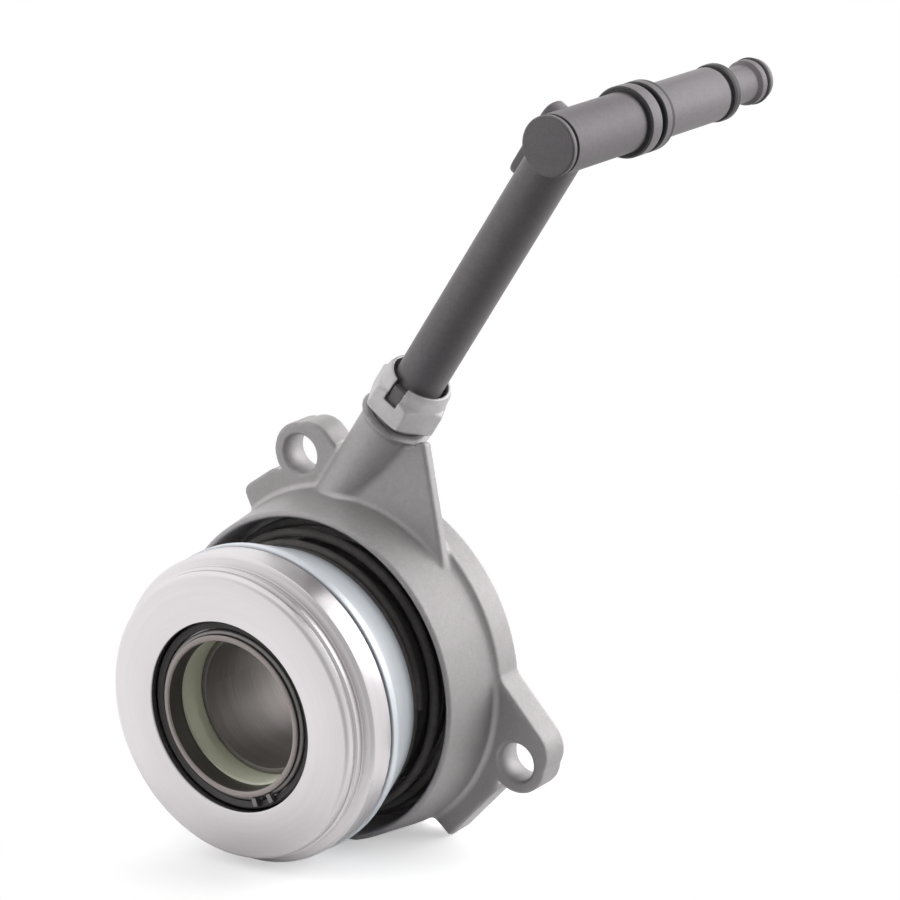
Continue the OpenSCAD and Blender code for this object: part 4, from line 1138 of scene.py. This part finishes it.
@dataclass
class FeedPipe:
    """Moulded feed pipe with its elbow, side tab and spigot, the elbow's cap and the hexagonal retainer."""
    bore_r: float = 2.1
    hex_flats: float = 15.0
    hex_foot: float = 54.1
    hex_h: float = 9.3
    collar_foot: float = 54.9
    ridge_at: float = 20.4
    flare_at: float = 55.2
    # Where the seam beside the cap takes the darker finish as painted shade: along the spigot and out from its axis.
    seam_shade_along: Point = (-4.62, -4.15)
    seam_shade_round: Point = (5.5, 6.3)

    def build(self, finishes: Finishes) -> None:
        """Makes the pipe, its cap, its seals and the retainer."""
        self.pipe(finishes)
        self.retainer(finishes)

    def pipe(self, finishes: Finishes) -> None:
        """Pipe, spigot and tab as one moulding, with a cap and the tip's O-ring."""
        h, c, bore = AT.elbow_h, self.collar_foot, self.bore_r
        body = turned("feed_pipe_moulded", eased([
            (bore, 40), (3.8, 40), (4.3, 40.6), (4.3, 42.4), (3.3, 42.4), (3.3, 43.6), (4.3, 43.6), (4.3, c), (6.75, c),
            (6.75, c + 3.8), (5.3, c + 3.8, 0.2), (5.3, h - 15.5), (5.3, h - 8.5), (5.3, h), (bore, h)]), Lay.PIPE, 128)
        r, a = self.ridge_at, self.flare_at
        spigot = turned("add_spigot", eased([
            (bore, -4.6), (5.6, -4.6), (5.65, -4.35), (6.2, -4.1, 0.12), (6.2, r, 0.1), (7.0, r, 0.1),
            (7.35, r + 0.5, 0.3), (7.35, r + 1.2), (7.35, r + 3.7, 0.2), (7.15, r + 3.9, 0.1), (6.2, r + 4, 0.1),
            (6.2, r + 5.4, 0.1), (7.05, r + 5.5, 0.1), (7.35, r + 5.8, 0.2), (7.35, r + 7.5), (7.35, r + 8.4, 0.2),
            (7.05, r + 8.8, 0.2), (6.25, r + 9, 0.1), (5.75, r + 9.8, 0.4),
            (5.75, a - 2, 0.1), (5.35, a - 1.8, 0.1), (5.35, a - 0.9, 0.1), (5.95, a - 0.7, 0.1), (6.1, a, 0.3),
            (6.1, a + 1.4, 0.2), (5.7, a + 1.8, 0.2), (4.55, a + 2.2, 0.3), (3.95, a + 3.4, 0.6),
            (3.95, 66.9, 0.5), (4.75, 67.9, 0.4), (4.75, 69.7, 0.2), (3.6, 69.7), (3.6, 71.3), (4.65, 71.3, 0.2),
            (4.55, 72.3, 0.4), (3.55, 73.5, 0.3), (bore, 73.5, 0.3)]), Lay.SPIGOT, 128)
        boolean(body, spigot, "UNION")
        tab = eased([(-0.6, h - 14, 3.1), (6.0, h - 14, 3.1), (6.0, h + 3.9, 3.1), (-0.6, h + 3.9, 3.1)], 8)
        boolean(body, prism("add_tab", tab, 4.8, 7.2, 0.5), "UNION")
        key = [(-6.7, c + 3.4), (-2.7, c + 3.4), (-2.7, c + 7.2), (-6.7, c + 7.2)]
        boolean(body, prism("add_key", key, -1.5, 1.5, 0.25), "UNION")
        finishes.dress(body, "grey_plastic", "band_painted_shade_plastic")
        self.paint_band_shade(body)
        smooth(body.data, 40.0)
        place(body, "base", "grey_plastic", "feed_pipe")
        cap = turned("elbow_cap_moulded", eased([
            (0, -6), (6.15, -6, 0.9), (6.15, -4.9, 0.1), (5.6, -4.6), (2.05, -4.6), (2.05, -2.6), (0, -2.6)], 6),
            Lay.SPIGOT, 128)
        finishes.dress(cap, "cap_plastic")
        place(cap, "base", "grey_plastic", "elbow_cap")
        ring = turned("spigot_oring_moulded", ring_section(4.32, 70.5, 1.4), Lay.SPIGOT, 96)
        finishes.dress(ring, "black_rubber")
        place(ring, "base", "black_rubber", "spigot_oring")

    def paint_band_shade(self, body: bpy.types.Object) -> None:
        """Gives the second, darker finish to the spigot's grooves and edges and to the seam beside the cap: painted
        shade.
        """
        h, r, a = AT.elbow_h, self.ridge_at, self.flare_at
        cos, sin = math.cos(AT.pipe_angle), math.sin(AT.pipe_angle)
        # Bands along the spigot, in mm, painted darker as shade.
        shade_bands = ((r - 0.1, r + 0.45), (r + 3.7, r + 5.7), (r + 7.5, r + 9.3), (a - 2.1, a + 1.0))
        for face in body.data.polygons:
            x, back, z = face.center.x / MM, face.center.y / MM + AT.pipe_fwd, face.center.z / MM
            from_spigot = math.hypot(x * cos + z * sin - h, z * cos - x * sin - AT.pipe_offset)
            seam = (self.seam_shade_along[0] < back < self.seam_shade_along[1]
                    and self.seam_shade_round[0] < from_spigot < self.seam_shade_round[1])
            face.material_index = int(seam or any(low < back < high for low, high in shade_bands))

    def hexagon(self, x: np.ndarray, y: np.ndarray, z: np.ndarray) -> np.ndarray:
        """Distance to the retainer: a hexagon with a coned top, a skirt, a hole and a slot."""
        flat, foot, top = self.hex_flats / 2, self.hex_foot, self.hex_foot + self.hex_h
        r = np.hypot(x, y)
        sides = [np.abs(x * math.cos(a) + y * math.sin(a)) - flat for a in np.radians([0, 60, 120])]
        across = np.max(np.stack(np.broadcast_arrays(*sides)), axis=0)
        body = slab(across, z, foot, top + 5, 0.35)
        corner = flat / math.cos(math.radians(30))
        cone = outline_field(r, z, [
            (-1, foot - 1), (corner - 0.6, foot - 1), (corner - 0.6, foot), (corner + 0.1, foot + 0.5),
            (corner + 0.1, foot + 5.2), (flat - 0.05, foot + 6.2), (flat - 0.3, top - 0.9), (flat - 0.7, top - 0.1),
            (flat - 0.9, top), (-1, top)])
        body = -join(-body, -cone, 0.35)
        skirt = np.maximum(r - 6.0, np.abs(z - 51.2) - 4.5)
        body = np.minimum(body, skirt)
        hole = np.minimum(np.maximum(r - 6.85, np.abs(z - 56.8) - 1.9), np.maximum(r - 6.2, 54.9 - z))
        hole = np.minimum(hole, r - 4.45)
        slot = np.maximum(np.maximum(np.abs(y) - 1.65, x), 58.3 - z)
        return -join(-np.maximum(body, -hole), slot, 0.2)

    def retainer(self, finishes: Finishes) -> None:
        """Hexagonal retainer closed over the pipe's collar."""
        obj = field_object("pipe_retainer_pressed", self.hexagon, (-9.6, -9.6, 46.0), (9.6, 9.6, 64.4), 0.24,
                           lambda v: AT.pipe_point(*v.T), 40.0)
        finishes.dress(obj, "retainer_steel")
        place(obj, "base", "retainer_steel", "pipe_retainer")


class HiddenNodes:
    """Finishes for the nodes that keep their own solids."""

    SLOTS = {
        "tube_oring": "black_rubber", "piston_seal": "black_rubber", "seal_backing_ring": "pale_plastic",
        "spring_seat": "spring_steel", "centring_washer": "race_steel", "inner_race": "race_steel",
        "bearing_balls": "race_steel", "ball_cage": "cage_plastic", "pipe_oring": "black_rubber",
    }

    def build(self, finishes: Finishes) -> None:
        """Gives each of these nodes its finish."""
        for node, slot in self.SLOTS.items():
            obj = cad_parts[node]
            if not obj.material_slots:
                obj.data.materials.append(finishes.made[slot])
            for item in obj.material_slots:
                item.material = finishes.made[slot]
            LOG.info("%s takes %s", node, slot)


@dataclass(frozen=True)
class Lamp:
    """Soft round lamp: its turn from the back towards the right and its height in degrees, and its power in watts."""
    name: str
    turn: float
    rise: float
    power: float
    mirrored: bool = False


@dataclass(frozen=True)
class Patch:
    """Part of the surroundings that reflections see lighter or darker."""
    way: tuple[float, float, float]
    low: float
    high: float
    change: float


@dataclass
class Studio:
    """Camera, pale floor, white surroundings and soft lamps."""
    swing: float = 0.6160
    rise: float = 0.3088
    distance: float = 742.366
    shift: Point = (21.503, 44.250)
    lens: float = 140.0
    soft_lamps: tuple[Lamp, ...] = (
        Lamp("front_left", 225, 14, 2.7), Lamp("back_right", 50, 20, 7.4), Lamp("back", 20, 25, 1.9, True),
        Lamp("back_left", 315, 25, 4.0), Lamp("front_right", 135, 25, 0.6), Lamp("top_left", 240, 45, 1.2),
        Lamp("top", 0, 85, 0.8))
    lamp_size: float = 0.75
    lamp_distance: float = 0.8
    lamp_aim: tuple[float, float, float] = (0, -0.01, 0.02)
    floor_half: float = 900
    floor_mid: tuple[float, float, float] = (0.005, -0.02, -0.035)
    floor_fade: Point = (0.03, 0.085)
    front: Patch = Patch((0.55, -0.78, 0.30), 0.1, 0.75, -0.4)
    patches: tuple[Patch, ...] = (
        Patch((-1.0, 0.15, 0.2), -0.2, 0.7, 0.1), Patch((-0.07, 0.77, 0.63), 0.9, 0.985, -0.65),
        Patch((0.36, 0.8, 0.48), 0.9, 0.97, -0.2))
    mirror_level: float = 0.9
    surround: float = 0.09
    front_dark: float = 0.07
    floor_lift: float = 0.42

    def build(self) -> None:
        """Sets up the whole studio."""
        bpy.context.scene.view_settings.view_transform = "Standard"
        self.camera()
        self.floor()
        self.world()
        self.lamps()

    def camera(self) -> None:
        """Camera at the photograph's viewing angle."""
        a, e = self.swing, self.rise
        back = Vector((math.sin(a) * math.cos(e), -math.cos(a) * math.cos(e), math.sin(e)))
        right = Vector((math.cos(a), math.sin(a), 0.0))
        up = Vector((-math.sin(a) * math.sin(e), math.cos(a) * math.sin(e), math.cos(e)))
        at = (back * self.distance + right * self.shift[0] + up * self.shift[1] - Vector((0, 7, 0))) * MM
        data = bpy.data.cameras.new("camera")
        data.lens, data.sensor_width = self.lens, 36.0
        data.clip_start, data.clip_end = 0.05, 20.0
        obj = bpy.data.objects.new("camera", data)
        turn = Matrix((right, up, back)).transposed().to_4x4()
        obj.matrix_world = Matrix.Translation(at) @ turn
        bpy.context.scene.collection.objects.link(obj)
        bpy.context.scene.camera = obj

    def floor(self) -> None:
        """Pale floor through the three points that the part rests on, fading into the white surroundings."""
        a, b, c = Vector((0, -40, -33.1)), Vector((26.3, -4, -34.7)), Vector((-36.6, -3, -38.0))
        normal = (b - a).cross(c - a).normalized()
        u = normal.orthogonal().normalized()
        v = normal.cross(u)
        size = self.floor_half
        corners = [a + u * i * size + v * j * size for i, j in ((-1, -1), (1, -1), (1, 1), (-1, 1))]
        mesh = bpy.data.meshes.new("floor")
        mesh.from_pydata([tuple(corner * MM) for corner in corners], [], [(0, 1, 2, 3)])
        obj = bpy.data.objects.new("floor", mesh)
        bpy.context.scene.collection.objects.link(obj)
        mat = bpy.data.materials.new("pale_floor")
        mat.use_nodes = True
        g = Graph(mat.node_tree)
        shader = mat.node_tree.nodes["Principled BSDF"]
        where = g.add("ShaderNodeTexCoord").outputs["Object"]
        pale = g.mix(g.noise(where, 3.0), (0.84, 0.84, 0.84, 1), (0.87, 0.87, 0.87, 1))
        g.feed(shader.inputs["Base Color"], pale)
        shader.inputs["Roughness"].default_value = 0.8
        shader.inputs["Specular IOR Level"].default_value = 0.1
        shader.inputs["Emission Color"].default_value = (1, 1, 1, 1)
        path = g.add("ShaderNodeLightPath")
        lift = g.math("MULTIPLY", path.outputs["Is Camera Ray"], self.floor_lift)
        g.feed(shader.inputs["Emission Strength"], lift)
        reach = g.add("ShaderNodeVectorMath", operation="DISTANCE")
        g.feed(reach.inputs[0], where)
        reach.inputs[1].default_value = self.floor_mid
        g.feed(shader.inputs["Alpha"], g.spread(reach.outputs["Value"], *self.floor_fade, 1.0, 0.0))
        mesh.materials.append(mat)

    def world(self) -> None:
        """White surroundings for what is seen, and light with little from the front."""
        world = bpy.data.worlds.new("studio")
        world.use_nodes = True
        bpy.context.scene.world = world
        world.node_tree.nodes.clear()
        g = Graph(world.node_tree)
        path = g.add("ShaderNodeLightPath")
        seen = g.math("MAXIMUM", path.outputs["Is Camera Ray"], path.outputs["Is Transmission Ray"])
        way = g.add("ShaderNodeTexCoord").outputs["Generated"]

        def toward(patch: Patch) -> bpy.types.NodeSocket:
            """How far a direction turns towards a patch, spread to 0 to 1."""
            dot = g.add("ShaderNodeVectorMath", operation="DOT_PRODUCT")
            g.feed(dot.inputs[0], way)
            dot.inputs[1].default_value = Vector(patch.way).normalized()
            return g.spread(dot.outputs["Value"], patch.low, patch.high)

        shine = self.mirror_level
        for patch in self.patches:
            shine = g.math("MULTIPLY_ADD", toward(patch), patch.change, shine)
        front = toward(self.front)
        shine = g.math("MULTIPLY_ADD", front, self.front.change, shine)
        soft = g.math("MULTIPLY_ADD", front, -self.front_dark, self.surround)
        glossy = path.outputs["Is Glossy Ray"]
        level = g.math("ADD", g.math("MULTIPLY", glossy, shine),
                       g.math("MULTIPLY", g.math("SUBTRACT", 1.0, glossy), soft))
        level = g.math("MAXIMUM", level, seen)
        light = g.add("ShaderNodeBackground")
        light.inputs["Color"].default_value = (1, 1, 1, 1)
        g.feed(light.inputs["Strength"], level)
        g.feed(g.add("ShaderNodeOutputWorld").inputs["Surface"], light.outputs[0])

    def lamps(self) -> None:
        """Soft round lamps, aimed at the part; reflections show only those that are marked as mirrored."""
        for lamp in self.soft_lamps:
            a, e = math.radians(lamp.turn), math.radians(lamp.rise)
            way = Vector((math.sin(a) * math.cos(e), math.cos(a) * math.cos(e), math.sin(e)))
            data = bpy.data.lights.new(lamp.name, "AREA")
            data.shape, data.size, data.energy = "DISK", self.lamp_size, lamp.power
            obj = bpy.data.objects.new(lamp.name, data)
            at = Matrix.Translation(way * self.lamp_distance + Vector(self.lamp_aim))
            obj.matrix_world = at @ (-way).to_track_quat("-Z", "Y").to_matrix().to_4x4()
            obj.visible_glossy = lamp.mirrored
            bpy.context.scene.collection.objects.link(obj)


def main() -> None:
    """Builds every sub-assembly in order."""
    logging.basicConfig(level=logging.INFO, format="%(message)s")
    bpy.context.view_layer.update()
    finishes = Finishes()
    for part in (Casting(), Bearing(), PistonTrain(), BootAndSpring(), FeedPipe(), HiddenNodes()):
        part.build(finishes)
    Studio().build()


if __name__ == "__main__":
    main()
